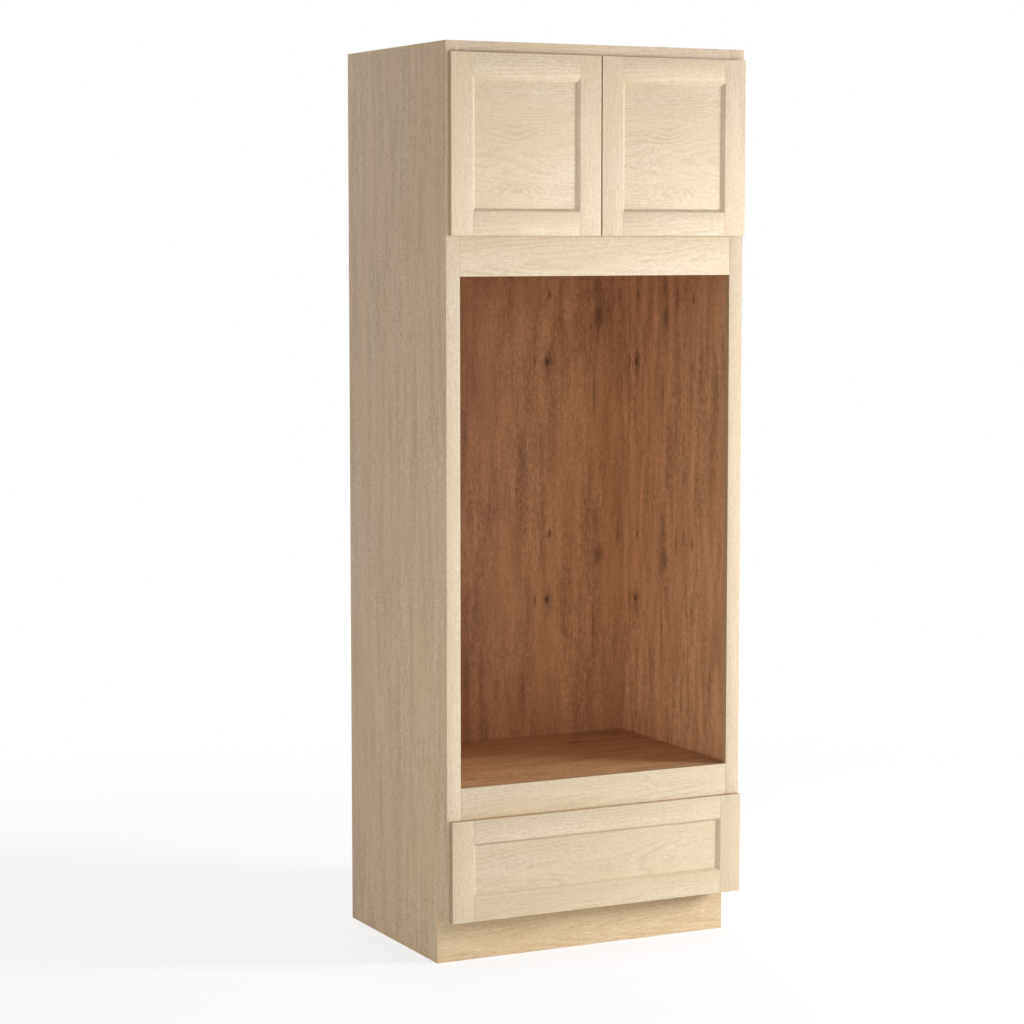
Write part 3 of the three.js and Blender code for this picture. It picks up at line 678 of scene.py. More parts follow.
SCREW_STEEL = MetalFinish("screw steel", "nickel_steel", "BDBBB5", "85837E", 0.32, (300, 300, 300))
RUBBER = RubberFinish()


# ------------------------------------------------------------------------------------ mesh building


def middle_of(node: str) -> Vector:
    """The middle of a CAD node's box."""
    low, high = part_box(node)
    return (low + high) / 2


def wear(piece: bpy.types.Object, *finishes: bpy.types.Material) -> None:
    """Gives a piece its materials, in the order of its faces' numbers."""
    piece.data.materials.clear()
    for finish in finishes:
        piece.data.materials.append(finish)


def own_copy(
    node: str, name: str, ease: float, crease: float = 35.0, weld: float = 0.002 * MM
) -> bpy.types.Object:
    """Copies a CAD node's loose triangles as one welded mesh with eased edges.

    Args:
        node: The CAD node.
        name: The new piece's name.
        ease: Width of the eased edges.
        crease: Degrees past which an edge is eased.
        weld: Corners nearer than this become one.

    Returns:
        The new piece, at the origin, not yet riding on a body.
    """
    shape = bmesh.new()
    shape.from_mesh(bpy.data.objects[node].data)
    bmesh.ops.remove_doubles(shape, verts=shape.verts, dist=weld)
    bmesh.ops.dissolve_limit(shape, angle_limit=FLAT_ANGLE, verts=shape.verts, edges=shape.edges)
    for face in shape.faces:
        face.smooth = True
    mesh = bpy.data.meshes.new(name)
    shape.to_mesh(mesh)
    shape.free()
    piece = bpy.data.objects.new(name, mesh)
    bpy.context.scene.collection.objects.link(piece)
    bevel = piece.modifiers.new("eased edges", "BEVEL")
    bevel.width = ease
    bevel.segments = 2
    bevel.limit_method = "ANGLE"
    bevel.angle_limit = math.radians(crease)
    bevel.harden_normals = True
    bevel.use_clamp_overlap = True
    merge = piece.modifiers.new("closed corners", "WELD")
    merge.merge_threshold = CORNER_MERGE
    return piece


def seat(piece: bpy.types.Object, body: str, nodes: Iterable[str] = ()) -> bpy.types.Object:
    """Makes a finished piece ride on its body.

    Args:
        piece: The piece, in place.
        body: The CAD body that carries it.
        nodes: CAD nodes that it stands for.

    Returns:
        The same piece.
    """
    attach(piece, body)
    replaced = list(nodes)
    if replaced:
        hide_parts(*replaced)
    return piece


@dataclass
class Skin:
    """What a laminated board shows on its two faces, and how each was cut.

    Attributes:
        near: The face on the side that the board's through direction points away from.
        far: The face on the side that it points to.
    """

    near: WoodFinish
    far: WoodFinish


@dataclass
class Timber:
    """Makes boards, each from its own stretch of the tree.

    Attributes:
        ease: Width of a solid board's eased edges.
        laminate_ease: The same, for a laminated board.
        step: Metres along the trunk from one board to the next.
        count: Boards made so far.
    """

    ease: float = 0.7 * MM
    laminate_ease: float = 0.42 * MM
    step: float = 1.37
    count: int = 0

    def _own_cut(self, cut: Cut) -> Cut:
        """The same cut, from the trunk's next stretch."""
        self.count += 1
        return replace(cut, along=self.step * self.count + cut.along)

    def solid(
        self,
        node: str,
        body: str,
        wood: WoodFinish,
        grain: Grain,
        cut: Cut = Cut(),
        figures: Sequence[Figure] = (),
    ) -> bpy.types.Object:
        """Makes one solid board that replaces its CAD node.

        Args:
            node: The CAD node.
            body: The body that carries it.
            wood: What it is made of.
            grain: The way its grain runs.
            cut: How it was cut; its place along the trunk is added to the board's own.
            figures: Places where the grain swells.

        Returns:
            The finished board.
        """
        piece = own_copy(node, f"{node}_board", self.ease)
        own = self._own_cut(cut)
        middle = middle_of(node)
        face_wood = wood.material(f"{wood.name} {node}", grain, middle, own, figures)
        if wood.edge is None:
            wear(piece, face_wood)
        else:
            # Edge faces get the edge finish, which on oak is the painted shade.
            wear(piece, face_wood, wood.edge.material(f"{wood.edge.name} {node}", grain, middle, own))
            for face in piece.data.polygons:
                face.material_index = int(abs(face.normal.dot(grain.through)) < 0.5)
        return seat(piece, body, [node])

    def laminate(
        self,
        node: str,
        body: str,
        skin: Skin,
        grain: Grain,
        cut: Cut = Cut(),
        slot: str = "",
        sheet: Sheet = Sheet(),
    ) -> bpy.types.Object:
        """Makes one laminated board: a skin on each face and plies on its edges.

        Args:
            node: The CAD node.
            body: The body that carries it.
            skin: Its two faces.
            grain: The way its face grain runs.
            cut: How the skins were cut.
            slot: The record's slot, if it isn't the near skin's; not used.
            sheet: How a printed sheet lies on the board.

        Returns:
            The finished board.
        """
        piece = own_copy(node, f"{node}_board", self.laminate_ease)
        own = self._own_cut(cut)
        middle = middle_of(node)
        near, far = (
            wood.material(f"{wood.name} {node} {side}", grain, middle, own, sheet=sheet)
            for wood, side in ((skin.near, "near"), (skin.far, "far"))
        )
        wear(piece, near, far, PLY_EDGE.material(f"{PLY_EDGE.name} {node}", grain, middle))
        for face in piece.data.polygons:
            facing = face.normal.dot(grain.through)
            face.material_index = 2 if abs(facing) < 0.5 else int(facing > 0)
        return seat(piece, body, [node])


# ---------------------------------------------------------------------------------- repeated pieces


class Repeats:
    """Geometry Nodes trees for screws and bumpers.

    The screw's sizes are shares of its head's radius.
    """

    spin_step = 0.9  # radians between the crosses of one screw and the next
    crown_bend = math.radians(72)  # how far round its dome the crown goes
    foot_taper = 0.55
    foot_depth = 0.8
    bar_length, bar_width, bar_depth = 1.15, 0.24, 1.0  # one bar of the cross
    bar_rise = 0.45
    stud_taper = 0.22

    def __init__(self) -> None:
        """Builds each tree once."""
        self.heads = self._screw_tree()
        self.domes = self._stud_tree()

    @staticmethod
    def _new_tree(name: str, inputs: dict[str, str]) -> tuple[Graph, bpy.types.Node]:
        """Starts a geometry tree.

        Args:
            name: The tree's name.
            inputs: The kind of each input after the geometry, by its name.

        Returns:
            The graph and its entry node.
        """
        tree = bpy.data.node_groups.new(name, "GeometryNodeTree")
        for label, kind in {"Geometry": "Geometry", **inputs}.items():
            tree.interface.new_socket(label, in_out="INPUT", socket_type=f"NodeSocket{kind}")
        tree.interface.new_socket("Geometry", in_out="OUTPUT", socket_type="NodeSocketGeometry")
        graph = Graph(tree)
        return graph, graph.node("NodeGroupInput")

    @staticmethod
    def _close(graph: Graph, entry: bpy.types.Node, shape: Socket) -> bpy.types.NodeTree:
        """Puts a shape on each point, with its Z along the point's facing, and ends the tree.

        Args:
            graph: The tree's graph.
            entry: Its entry node, with the points and the finish.
            shape: What goes on each point.

        Returns:
            The tree.
        """
        facing = graph.node("GeometryNodeInputNamedAttribute", {"Name": "facing"}, data_type="FLOAT_VECTOR")
        turn = graph.node("FunctionNodeAlignRotationToVector", {"Vector": facing.outputs[0]}, axis="Z")
        spin = graph.node("GeometryNodeInputNamedAttribute", {"Name": "spin"}, data_type="FLOAT")
        about = {0: turn.outputs[0], 1: graph.join(z=spin.outputs[0])}
        own = graph.node("FunctionNodeRotateRotation", about, rotation_space="LOCAL")
        inputs = {"Points": entry.outputs["Geometry"], "Instance": shape, "Rotation": own.outputs[0]}
        placed = graph.node("GeometryNodeInstanceOnPoints", inputs)
        real = graph.node("GeometryNodeRealizeInstances", {"Geometry": placed.outputs[0]})
        inputs = {"Geometry": real.outputs[0], "Material": entry.outputs["Finish"]}
        worn = graph.node("GeometryNodeSetMaterial", inputs)
        graph.node("NodeGroupOutput", {0: worn.outputs[0]})
        return graph.tree

    def _screw_tree(self) -> bpy.types.NodeTree:
        """Countersunk heads with a cross recess, on points that carry a facing and a spin."""
        kinds = {"Radius": "Float", "Height": "Float", "Finish": "Material"}
        graph, entry = self._new_tree("screw heads", kinds)
        radius, height = entry.outputs["Radius"], entry.outputs["Height"]
        inputs = {"Vertices": 24, "Side Segments": 6, "Fill Segments": 1, "Radius": 1.0, "Depth": 1.0}
        blank = graph.node("GeometryNodeMeshCylinder", inputs).outputs["Mesh"]
        place = graph.node("GeometryNodeInputPosition").outputs[0]
        level = graph.math("ADD", graph.axis(place, 2), 0.5)
        foot = graph.math("SUBTRACT", 1.0, graph.math("MULTIPLY", level, 3.0), clamp=True)
        crown = graph.math("MULTIPLY", graph.math("SUBTRACT", level, 1 / 3), 1.5, clamp=True)
        bend = graph.math("MULTIPLY", crown, self.crown_bend)
        girth = graph.math("COSINE", bend)
        girth = graph.math("SUBTRACT", girth, graph.math("MULTIPLY", foot, self.foot_taper))
        wide = graph.math("MULTIPLY", radius, girth)
        sink = graph.math("MULTIPLY", foot, graph.math("MULTIPLY", radius, self.foot_depth))
        rise = graph.math("MULTIPLY", height, graph.math("SINE", bend))
        rise = graph.math("SUBTRACT", rise, sink)
        flat = graph.vector("MULTIPLY", place, graph.join(wide, wide))
        turned = graph.vector("ADD", flat, graph.join(z=rise))
        head = graph.node("GeometryNodeSetPosition", {"Geometry": blank, "Position": turned})
        sizes = (self.bar_length, self.bar_width, self.bar_depth)
        bar_size = graph.join(*(graph.math("MULTIPLY", radius, size) for size in sizes))
        bar = graph.node("GeometryNodeMeshCube", {"Size": bar_size}).outputs["Mesh"]
        raised = graph.join(z=graph.math("MULTIPLY", radius, self.bar_rise))
        first = graph.node("GeometryNodeTransform", {"Geometry": bar, "Translation": raised})
        quarter = {"Geometry": first.outputs[0], "Rotation": (0.0, 0.0, math.pi / 2)}
        second = graph.node("GeometryNodeTransform", quarter)
        inputs = {"Mesh 1": head.outputs[0]}
        cross = graph.node("GeometryNodeMeshBoolean", inputs, operation="DIFFERENCE", solver="EXACT")
        graph.tree.links.new(first.outputs[0], cross.inputs["Mesh 2"])
        graph.tree.links.new(second.outputs[0], cross.inputs["Mesh 2"])
        return self._close(graph, entry, cross.outputs[0])

    def _stud_tree(self) -> bpy.types.NodeTree:
        """Low domed studs on points that carry a facing."""
        kinds = {"Radius": "Float", "Height": "Float", "Finish": "Material"}
        graph, entry = self._new_tree("bumper studs", kinds)
        radius, height = entry.outputs["Radius"], entry.outputs["Height"]
        inputs = {"Vertices": 28, "Side Segments": 1, "Fill Segments": 1, "Radius": radius, "Depth": height}
        disc = graph.node("GeometryNodeMeshCylinder", inputs).outputs["Mesh"]
        half = graph.join(z=graph.math("MULTIPLY", height, 0.5))
        lifted = graph.node("GeometryNodeTransform", {"Geometry": disc, "Translation": half})
        place = graph.node("GeometryNodeInputPosition").outputs[0]
        share = graph.math("DIVIDE", graph.axis(place, 2), height)
        drawn = graph.math("SUBTRACT", 1.0, graph.math("MULTIPLY", share, self.stud_taper))
        inward = graph.vector("MULTIPLY", place, graph.join(drawn, drawn, 1.0))
        shaped = graph.node("GeometryNodeSetPosition", {"Geometry": lifted.outputs[0], "Position": inward})
        return self._close(graph, entry, shaped.outputs[0])

    def _on_points(
        self, name: str, tree: bpy.types.NodeTree, spots: Spots, settings: dict[str, Any]
    ) -> bpy.types.Object:
        """Repeats a shape on some spots and keeps the result as a plain mesh.

        Args:
            name: The new piece's name.
            tree: The tree that makes the shape.
            spots: A place and the way it faces, for each copy.
            settings: A value for each named input of the tree.

        Returns:
            The new piece, at the origin.
        """
        base = bpy.data.meshes.new(f"{name} spots")
        base.from_pydata([place for place, _ in spots], [], [])
        base.attributes.new("facing", "FLOAT_VECTOR", "POINT")
        base.attributes.new("spin", "FLOAT", "POINT")
        for i, (_, way) in enumerate(spots):
            base.attributes["facing"].data[i].vector = way
            base.attributes["spin"].data[i].value = self.spin_step * i
        source = bpy.data.objects.new(f"{name} source", base)
        bpy.context.scene.collection.objects.link(source)
        modifier = source.modifiers.new("repeats", "NODES")
        modifier.node_group = tree
        for item in tree.interface.items_tree:
            if item.item_type == "SOCKET" and item.in_out == "INPUT" and item.name in settings:
                modifier[item.identifier] = settings[item.name]
        graph = bpy.context.evaluated_depsgraph_get()
        mesh = bpy.data.meshes.new_from_object(source.evaluated_get(graph), depsgraph=graph)
        mesh.name = name
        bpy.data.objects.remove(source)
        for face in mesh.polygons:
            face.use_smooth = True
        mesh.set_sharp_from_angle(angle=SHARP_ANGLE)
        piece = bpy.data.objects.new(name, mesh)
        bpy.context.scene.collection.objects.link(piece)
        return piece

    def screws(self, name: str, body: str, spots: Spots, radius: float, height: float) -> bpy.types.Object:
        """Puts a screw's head on each spot.

        Args:
            name: The new piece's name.
            body: The body that carries it.
            spots: A place and the way it faces, for each head.
            radius: The heads' radius.
            height: How far they stand proud.

        Returns:
            The heads, as one piece.
        """
        settings = {"Radius": radius, "Height": height, "Finish": SCREW_STEEL.material()}
        return seat(self._on_points(name, self.heads, spots, settings), body)

    def studs(
        self, name: str, body: str, spots: Spots, radius: float, height: float,
        finish: Union[MetalFinish, RubberFinish], slot: str,
    ) -> bpy.types.Object:
        """Puts a low domed stud on each spot.

        Args:
            name: The new piece's name.
            body: The body that carries it.
            spots: A place and the way it faces, for each stud.
            radius: The studs' radius.
            height: How far they stand proud.
            finish: What they are made of.
            slot: The record's material slot; not used.

        Returns:
            The studs, as one piece.
        """
        settings = {"Radius": radius, "Height": height, "Finish": finish.material()}
        return seat(self._on_points(name, self.domes, spots, settings), body)


# ------------------------------------------------------------------------------------ sub-assemblies


@dataclass
class Workshop:
    """What every sub-assembly shares."""

    timber: Timber = field(default_factory=Timber)
    repeats: Repeats = field(default_factory=Repeats)


@dataclass
class FaceFrame:
    """The oak frame round the three openings."""

    shop: Workshop
    body: str = "carcass"
    upright: Cut = Cut(heart_across=0.09, heart_depth=0.10, lean=0.4)
    level: Cut = Cut(heart_across=0.03, heart_depth=0.07, lean=1.4)
    flame: Figure = Figure(along=0.2, across=0.0, length=0.12, width=0.024, swell=6 * MM)

    def build(self) -> list[bpy.types.Object]:
        """Makes the two stiles and the four rails."""
        timber = self.shop.timber
        upright, level = Grain.UPRIGHT_FRONT, Grain.LEVEL_FRONT
        made = [
            timber.solid("frame_left_stile", self.body, FRAME_OAK, upright, self.upright),
            timber.solid("frame_right_stile", self.body, OAK, upright, self.upright),
            timber.solid("frame_head_rail", self.body, OAK, level, self.level, [self.flame]),
        ]
        for rail in ("top", "sill", "bottom"):
            made.append(timber.solid(f"frame_{rail}_rail", self.body, OAK, level, self.level))
        return made


@dataclass
class Carcass:
    """The sides, back, floors and toe board behind the frame."""

    shop: Workshop
    body: str = "carcass"
    veneer: Cut = Cut(heart_across=0.22, heart_depth=0.3, lean=0.5)
    toe: Cut = Cut(heart_across=0.02, heart_depth=0.05, lean=2.0)
    brad_pitch: float = 0.15
    brad_inset: float = 8 * MM
    brad_radius: float = 1.1 * MM
    brad_height: float = 0.3 * MM
    wall_sheet: Sheet = Sheet(across=0.378, hand=-1)

    def build(self) -> list[bpy.types.Object]:
        """Makes the boards and the brads that hold the back on."""
        timber, body = self.shop.timber, self.body
        side, floor, front = Grain.UPRIGHT_SIDE, Grain.LEVEL_FLOOR, Grain.LEVEL_FRONT
        inside, outside = Skin(WALNUT, WALNUT), Skin(OAK_END, OAK_END)
        # The bay's right wall wears the lighter walnut copy, which is painted light.
        wall = Skin(OAK_END, WALNUT_LIT_WALL)
        hidden = Skin(WALNUT, RAW_PLY)
        made = [
            timber.laminate("left_side_panel", body, inside, side, self.veneer),
            timber.laminate("right_side_panel", body, wall, side, self.veneer, WALNUT.slot, self.wall_sheet),
            timber.laminate("left_end_panel", body, outside, side, self.veneer),
            timber.laminate("back_panel", body, hidden, Grain.UPRIGHT_FRONT, self.veneer),
            timber.laminate("top_panel", body, hidden, floor, self.veneer),
            timber.laminate("cupboard_floor", body, inside, floor, self.veneer),
            # The oven floor's top wears the lighter walnut copy, which is painted light.
            timber.laminate("oven_floor", body, Skin(WALNUT, WALNUT_LIT_FLOOR), floor, self.veneer),
            timber.laminate("drawer_bay_floor", body, Skin(RAW_PLY, WALNUT), floor, self.veneer, WALNUT.slot),
            timber.solid("toe_board", body, TOE_OAK, front, self.toe),
            timber.solid("toe_backer", body, BIRCH, front, self.toe),
        ]
        for hand in ("left", "right"):
            for strip in ("oven_cleat", "slide_spacer"):
                made.append(timber.solid(f"{hand}_{strip}", body, BIRCH, Grain.DEEP_SIDE))
        made.append(self._back_brads())
        return made

    def _back_brads(self) -> bpy.types.Object:
        """Brad heads that hold the back panel, in a row near each upright edge and at each board."""
        low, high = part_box("back_panel")
        places: list[tuple[float, float]] = []
        rows = int((high.z - low.z) / self.brad_pitch)
        for x in (low.x + self.brad_inset, high.x - self.brad_inset):
            places += [(x, low.z + (i + 0.5) * (high.z - low.z) / rows) for i in range(rows)]
        columns = int((high.x - low.x) / self.brad_pitch)
        for board in ("top_panel", "cupboard_floor", "oven_floor", "drawer_bay_floor"):
            z = middle_of(board).z
            places += [(low.x + (i + 0.5) * (high.x - low.x) / columns, z) for i in range(columns)]
        depth = high.y - self.brad_height
        spots = [(Vector((x, depth, z)), Vector((0, 1, 0))) for x, z in places]
        sizes = (self.brad_radius, self.brad_height)
        return self.shop.repeats.studs("back_brads", self.body, spots, *sizes, ZINC, ZINC.slot)


@dataclass
class FramedFront:
    """A framed front: two stiles, two rails and a flat panel, with bumpers behind its corners."""

    shop: Workshop
    name: str
    body: str
    stiles: tuple[str, str]
    upright: Cut = Cut(heart_across=0.10, heart_depth=0.10, lean=0.5)
    level: Cut = Cut(heart_across=0.05, heart_depth=0.08, lean=1.2)
    flat: Cut = Cut(heart_across=0.03, heart_depth=0.13, lean=2.4)
    flame: Figure = Figure(along=0.0, across=-0.108, length=0.085, width=0.026, swell=19 * MM)
    eye: Figure = Figure(along=-0.02, across=0.022, length=0.075, width=0.036, swell=9 * MM)
    bumper_radius: float = 4.75 * MM
    bumper_height: float = 1.45 * MM
    bumper_inset: float = 17 * MM

    def build(self) -> list[bpy.types.Object]:
        """Makes the four frame members, and the panel, cut flat so that its grain waves across."""
        timber = self.shop.timber
        made = []
        for stile in self.stiles:
            node = f"{self.name}_{stile}"
            made.append(timber.solid(node, self.body, OAK, Grain.UPRIGHT_FRONT, self.upright))
        for rail in ("bottom_rail", "top_rail"):
            made.append(timber.solid(f"{self.name}_{rail}", self.body, OAK, Grain.LEVEL_FRONT, self.level))
        figures = [self.flame, self.eye]
        node = f"{self.name}_panel"
        made.append(timber.solid(node, self.body, OAK, Grain.LEVEL_FRONT, self.flat, figures))
        return made

    def bumpers(self, corners: Sequence[tuple[str, str]]) -> bpy.types.Object:
        """Puts a bumper behind some corners of the front.

        Args:
            corners: A stile and a rail that meet at each corner.

        Returns:
            The bumpers.
        """
        spots = []
        for stile, rail in corners:
            upright, level = middle_of(f"{self.name}_{stile}"), middle_of(f"{self.name}_{rail}")
            low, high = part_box(f"{self.name}_{stile}")
            outward = math.copysign(1, level.z - upright.z)
            edge = high.z if outward > 0 else low.z
            place = Vector((upright.x, high.y, edge - outward * self.bumper_inset))
            spots.append((place, Vector((0, 1, 0))))
        name, sizes = f"{self.name}_bumpers", (self.bumper_radius, self.bumper_height)
        return self.shop.repeats.studs(name, self.body, spots, *sizes, RUBBER, OAK.slot)


@dataclass
class DrawerBox:
    """The dovetailed birch box and the screws that hold its front on."""

    shop: Workshop
    body: str = "drawer"
    cut: Cut = Cut(heart_across=0.04, heart_depth=0.15, lean=0.8)
    screw_radius: float = 3.6 * MM
    screw_height: float = 1.4 * MM
    screw_inset: float = 0.11
    screw_levels: tuple[float, float] = (0.042, 0.034)

    def build(self) -> list[bpy.types.Object]:
        """Makes the box's five boards and the screws inside its front."""
        boards = {
            "left_side": Grain.DEEP_SIDE,
            "right_side": Grain.DEEP_SIDE,
            "front": Grain.LEVEL_FRONT,
            "back": Grain.LEVEL_FRONT,
            "bottom": Grain.LEVEL_FLOOR,
        }
        timber = self.shop.timber
        made = [
            timber.solid(f"drawer_box_{board}", self.body, BIRCH, grain, self.cut)
            for board, grain in boards.items()
        ]
        low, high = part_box("drawer_box_front")
        above, below = self.screw_levels
        spots = [
            (Vector((x, high.y, z)), Vector((0, 1, 0)))
            for x in (low.x + self.screw_inset, high.x - self.screw_inset)
            for z in (low.z + above, high.z - below)
        ]
        sizes = (self.screw_radius, self.screw_height)
        made.append(self.shop.repeats.screws("drawer_front_screws", self.body, spots, *sizes))
        return made


@dataclass
class Slides:
    """The ball slides on both sides of the drawer."""

    shop: Workshop
    ease: float = 0.25 * MM
    web: float = 1.2 * MM
    screw_radius: float = 2.6 * MM
    screw_height: float = 0.25 * MM
    screw_insets: tuple[float, ...] = (0.035, 0.23, 0.41)

    def build(self) -> list[bpy.types.Object]:
        """Makes the six members and the screws through their webs."""
        bodies = {"cabinet": "carcass", "middle": "slide_middles", "drawer": "drawer"}
        made = []
        for side in ("left", "right"):
            for member, body in bodies.items():
                node = f"{side}_slide_{member}_member"
                piece = own_copy(node, f"{node}_rolled", self.ease)
                wear(piece, ZINC.material())
                made.append(seat(piece, body, [node]))
        made.append(self._screws("cabinet", "carcass"))
        made.append(self._screws("drawer", "drawer"))
        return made

    def _screws(self, member: str, body: str) -> bpy.types.Object:
        """Screw heads on the web of one kind of member, both sides."""
        spots = []
        for side, outward in (("left", -1), ("right", 1)):
            low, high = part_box(f"{side}_slide_{member}_member")
            height = (low.z + high.z) / 2
            outer = high.x if outward > 0 else low.x
            inner = low.x if outward > 0 else high.x
            x = outer - outward * self.web if member == "cabinet" else inner + outward * self.web
            way = Vector((-outward if member == "cabinet" else outward, 0, 0))
            for inset in self.screw_insets:
                spots.append((Vector((x, low.y + inset, height)), way))
        sizes = (self.screw_radius, self.screw_height)
        return self.shop.repeats.screws(f"{member}_slide_screws", body, spots, *sizes)


@dataclass
class Hinges:
    """The concealed hinges of one door."""

    shop: Workshop
    side: str
    outward: int
    ease: float = 0.22 * MM
    crease: float = 40.0
    weld: float = 0.15 * MM
    plate: float = 2 * MM
    cup_screw_spacing: float = 42 * MM
    plate_screw_spacing: float = 40 * MM
    screw_radius: float = 3.1 * MM
    screw_height: float = 0.6 * MM

    def build(self) -> list[bpy.types.Object]:
        """Makes cup, link and arm at both heights, with their screws."""
        door = f"{self.side}_door"
        bodies = {"cup": door, "link": f"{door}_links", "arm": "carcass"}
        made = []
        cup_spots: Spots = []
        plate_spots: Spots = []
        for height in ("lower", "upper"):
            for part, body in bodies.items():
                node = f"{door}_{height}_hinge_{part}"
                piece = own_copy(node, f"{node}_pressed", self.ease, self.crease, self.weld)
                wear(piece, NICKEL.material())
                made.append(seat(piece, body, [node]))
            cup_spots += self._cup_screws(height)
            plate_spots += self._plate_screws(height)
        sizes = (self.screw_radius, self.screw_height)
        repeats = self.shop.repeats
        made.append(repeats.screws(f"{door}_cup_screws", door, cup_spots, *sizes))
        made.append(repeats.screws(f"{door}_plate_screws", "carcass", plate_spots, *sizes))
        return made

    def _cup_screws(self, height: str) -> Spots:
        """Places of the two screws in a cup's flange."""
        low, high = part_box(f"{self.side}_door_{height}_hinge_cup")
        middle = (low + high) / 2
        return [
            (Vector((middle.x, high.y, middle.z + up * self.cup_screw_spacing / 2)), Vector((0, 1, 0)))
            for up in (-1, 1)
        ]

    def _plate_screws(self, height: str) -> Spots:
        """Places of the two screws in an arm's base plate, on the stile's inner edge."""
        low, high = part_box(f"{self.side}_door_{height}_hinge_arm")
        stile_low, stile_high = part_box(f"frame_{self.side}_stile")
        edge = stile_low.x if self.outward > 0 else stile_high.x
        middle = (low.z + high.z) / 2
        depth = (stile_low.y + stile_high.y) / 2
        face = edge - self.outward * self.plate
        return [
            (Vector((face, depth, middle + up * self.plate_screw_spacing / 2)), Vector((-self.outward, 0, 0)))
            for up in (-1, 1)
        ]


# -------------------------------------------------------------------------------------------- studio


@dataclass
class Studio:
    """A pale floor, soft light and the camera."""

    floor_reach: float = 30.0
    floor_albedo: float = 0.8
    floor_shadow: float = 0.38
    floor_tint: float = 1.03
    floor_glow: float = 0.70
    floor_fade: tuple[float, float] = (1.6, 3.2)
    world_light: float = 0.4
    aim: tuple[float, float, float] = (0.0, -0.1, 1.15)
    key_share: float = 0.84
    key_place: tuple[float, float, float] = (4.0, -2.85, 1.8)
    key_size: float = 1.2
    fill_share: float = 0.285
    fill_place: tuple[float, float, float] = (-2.6, -3.7, 0.7)
    fill_size: float = 1.8
    back_share: float = 0.22
    back_place: tuple[float, float, float] = (0.9, 5.2, 2.9)
    back_size: float = 2.6
    camera_place: tuple[float, float, float] = (-3.3264, -6.4783, 1.8111)
    camera_turn: tuple[float, float] = (-26.506, -5.583)
    camera_lens: float = 98.63
    camera_sensor: float = 36.0
    camera_reach: float = 200.0

    def build(self) -> list[bpy.types.Object]:
        """Makes the floor, the light and the camera."""
        scene = bpy.context.scene
        scene.view_settings.view_transform = "Standard"
        self._world(scene)
        lamps = [
            self._lamp("key", self.key_place, self.key_size, self.key_share),
            self._lamp("fill", self.fill_place, self.fill_size, self.fill_share),
            self._lamp("back", self.back_place, self.back_size, self.back_share),
        ]
        return [self._floor(), *lamps, self._camera(scene)]

    @staticmethod
    def _seen(graph: Graph) -> Socket:
        """1 where a ray comes from the camera, or by way of gloss or glass."""
        path = graph.node("ShaderNodeLightPath")
        seen = graph.math("ADD", path.outputs["Is Camera Ray"], path.outputs["Is Glossy Ray"])
        return graph.math("ADD", seen, path.outputs["Is Transmission Ray"], clamp=True)

    def _world(self, scene: bpy.types.Scene) -> None:
        """Even light from all round, over a background that shows white."""
        world = bpy.data.worlds.new("studio")
        scene.world = world
        world.use_nodes = True
        world.node_tree.nodes.clear()
        graph = Graph(world.node_tree)
        light, white = (
            graph.node("ShaderNodeBackground", {"Color": (1, 1, 1, 1), "Strength": strength}).outputs[0]
            for strength in (self.world_light, 1.0)
        )
        mixed = graph.node("ShaderNodeMixShader", {0: self._seen(graph), 1: light, 2: white})
        graph.node("ShaderNodeOutputWorld", {"Surface": mixed.outputs[0]})

    def _floor(self) -> bpy.types.Object:
        """A round pale floor that keeps the unit's shadow and fades into the background."""
        shape = bmesh.new()
        bmesh.ops.create_circle(shape, cap_ends=True, segments=64, radius=self.floor_reach)
        mesh = bpy.data.meshes.new("studio floor")
        shape.to_mesh(mesh)
        shape.free()
        floor = bpy.data.objects.new("studio_floor", mesh)
        bpy.context.scene.collection.objects.link(floor)
        made, graph = blank_material("pale floor")
        reach = graph.vector("LENGTH", graph.node("ShaderNodeTexCoord").outputs["Object"])
        pale = (self.floor_albedo, self.floor_albedo, self.floor_albedo, 1)
        faint = (self.floor_shadow, self.floor_shadow, self.floor_shadow * self.floor_tint, 1)
        seen = self._seen(graph)
        matt = graph.node("ShaderNodeBsdfDiffuse", {"Color": graph.blend(seen, pale, faint)})
        near_glow = graph.math("MULTIPLY", seen, self.floor_glow)
        glow = graph.node("ShaderNodeEmission", {"Strength": near_glow})
        lit = graph.node("ShaderNodeAddShader", {0: matt.outputs[0], 1: glow.outputs[0]})
        white = graph.node("ShaderNodeEmission", {"Strength": 1.0})
        far = graph.math("MULTIPLY", graph.fade(reach, *self.floor_fade), seen)
        mixed = graph.node("ShaderNodeMixShader", {0: far, 1: lit.outputs[0], 2: white.outputs[0]})
        graph.node("ShaderNodeOutputMaterial", {"Surface": mixed.outputs[0]})
        mesh.materials.append(made)
        return floor

    def _lamp(self, name: str, spot: Sequence[float], size: float, share: float) -> bpy.types.Object:
        """A square soft lamp that points at the aim.

        Args:
            name: The lamp's name.
            spot: Where it stands.
            size: The side of the square.
            share: How bright a white surface that faces it becomes at the aim.

        Returns:
            The lamp.
        """
        place, aim = Vector(spot), Vector(self.aim)
        data = bpy.data.lights.new(name, "AREA")
        data.shape = "SQUARE"
        data.size = size
        data.energy = share * (math.pi * (place - aim).length) ** 2
        lamp = bpy.data.objects.new(name, data)
        lamp.location = place
        lamp.rotation_euler = (aim - place).to_track_quat("-Z", "Y").to_euler()
        lamp.visible_camera = False
        bpy.context.scene.collection.objects.link(lamp)
        return lamp

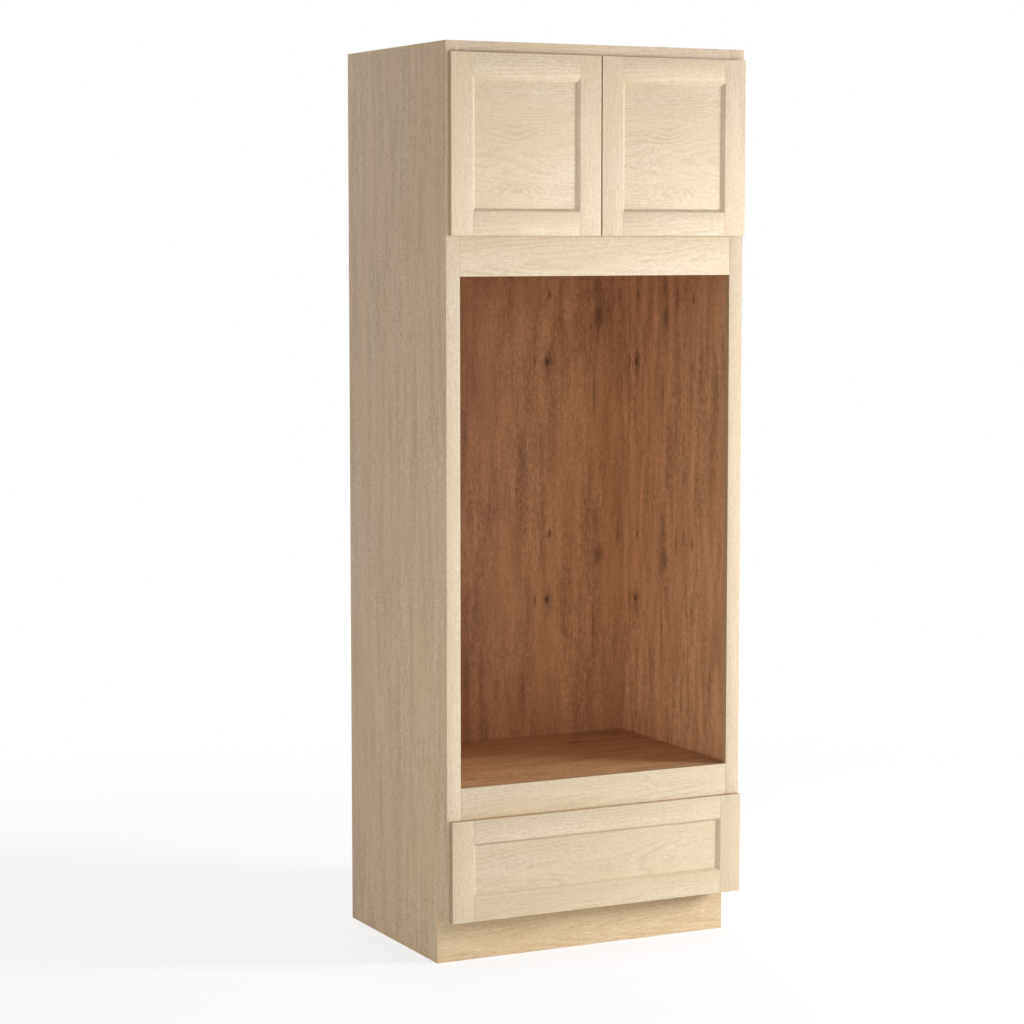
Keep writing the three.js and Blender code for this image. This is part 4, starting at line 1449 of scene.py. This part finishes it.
    def _camera(self, scene: bpy.types.Scene) -> bpy.types.Object:
        """The camera, at the photograph's angle."""
        data = bpy.data.cameras.new("camera")
        data.lens = self.camera_lens
        data.sensor_width = self.camera_sensor
        data.clip_end = self.camera_reach
        camera = bpy.data.objects.new("camera", data)
        camera.location = self.camera_place
        turn, tilt = (math.radians(angle) for angle in self.camera_turn)
        camera.rotation_euler = (math.pi / 2 + tilt, 0.0, turn)
        scene.collection.objects.link(camera)
        scene.camera = camera
        return camera


# ---------------------------------------------------------------------------------------------- main


def fronts(shop: Workshop) -> tuple[FramedFront, FramedFront, FramedFront]:
    """Names the three framed fronts, each with its own flame and eye in the panel's grain.

    Args:
        shop: What they are made with.

    Returns:
        The left door, the right door and the drawer front.
    """
    left = FramedFront(shop, "left_door", "left_door", ("hinge_stile", "meeting_stile"))
    left.flame = replace(left.flame, along=-0.02)
    right = replace(left, name="right_door", body="right_door")
    right.flame = replace(left.flame, along=0.01)
    right.eye = replace(left.eye, along=-0.01, across=0.03)
    drawer = replace(left, name="drawer_front", body="drawer", stiles=("left_stile", "right_stile"))
    drawer.flame = Figure(along=-0.15, across=-0.052, length=0.15, width=0.026, swell=7 * MM)
    drawer.eye = Figure(along=0.1, across=-0.01, length=0.2, width=0.055, swell=4 * MM)
    return left, right, drawer


def main() -> None:
    """Builds the studio and each sub-assembly, and reports the pieces."""
    logging.basicConfig(level=logging.INFO, format="%(message)s")
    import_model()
    Studio().build()
    shop = Workshop()
    left, right, drawer = fronts(shop)
    assemblies = [FaceFrame(shop), Carcass(shop), left, right, drawer, DrawerBox(shop), Slides(shop)]
    assemblies += [Hinges(shop, "left", -1), Hinges(shop, "right", 1)]
    for assembly in assemblies:
        maker = type(assembly).__name__
        for piece in assembly.build():
            LOG.info("%s: %s, %d faces", maker, piece.name, len(piece.data.polygons))
    free_side = [("meeting_stile", "top_rail"), ("meeting_stile", "bottom_rail")]
    left.bumpers(free_side)
    right.bumpers(free_side)
    drawer.bumpers([(stile, rail) for stile in drawer.stiles for rail in ("top_rail", "bottom_rail")])


if __name__ == "__main__":
    main()
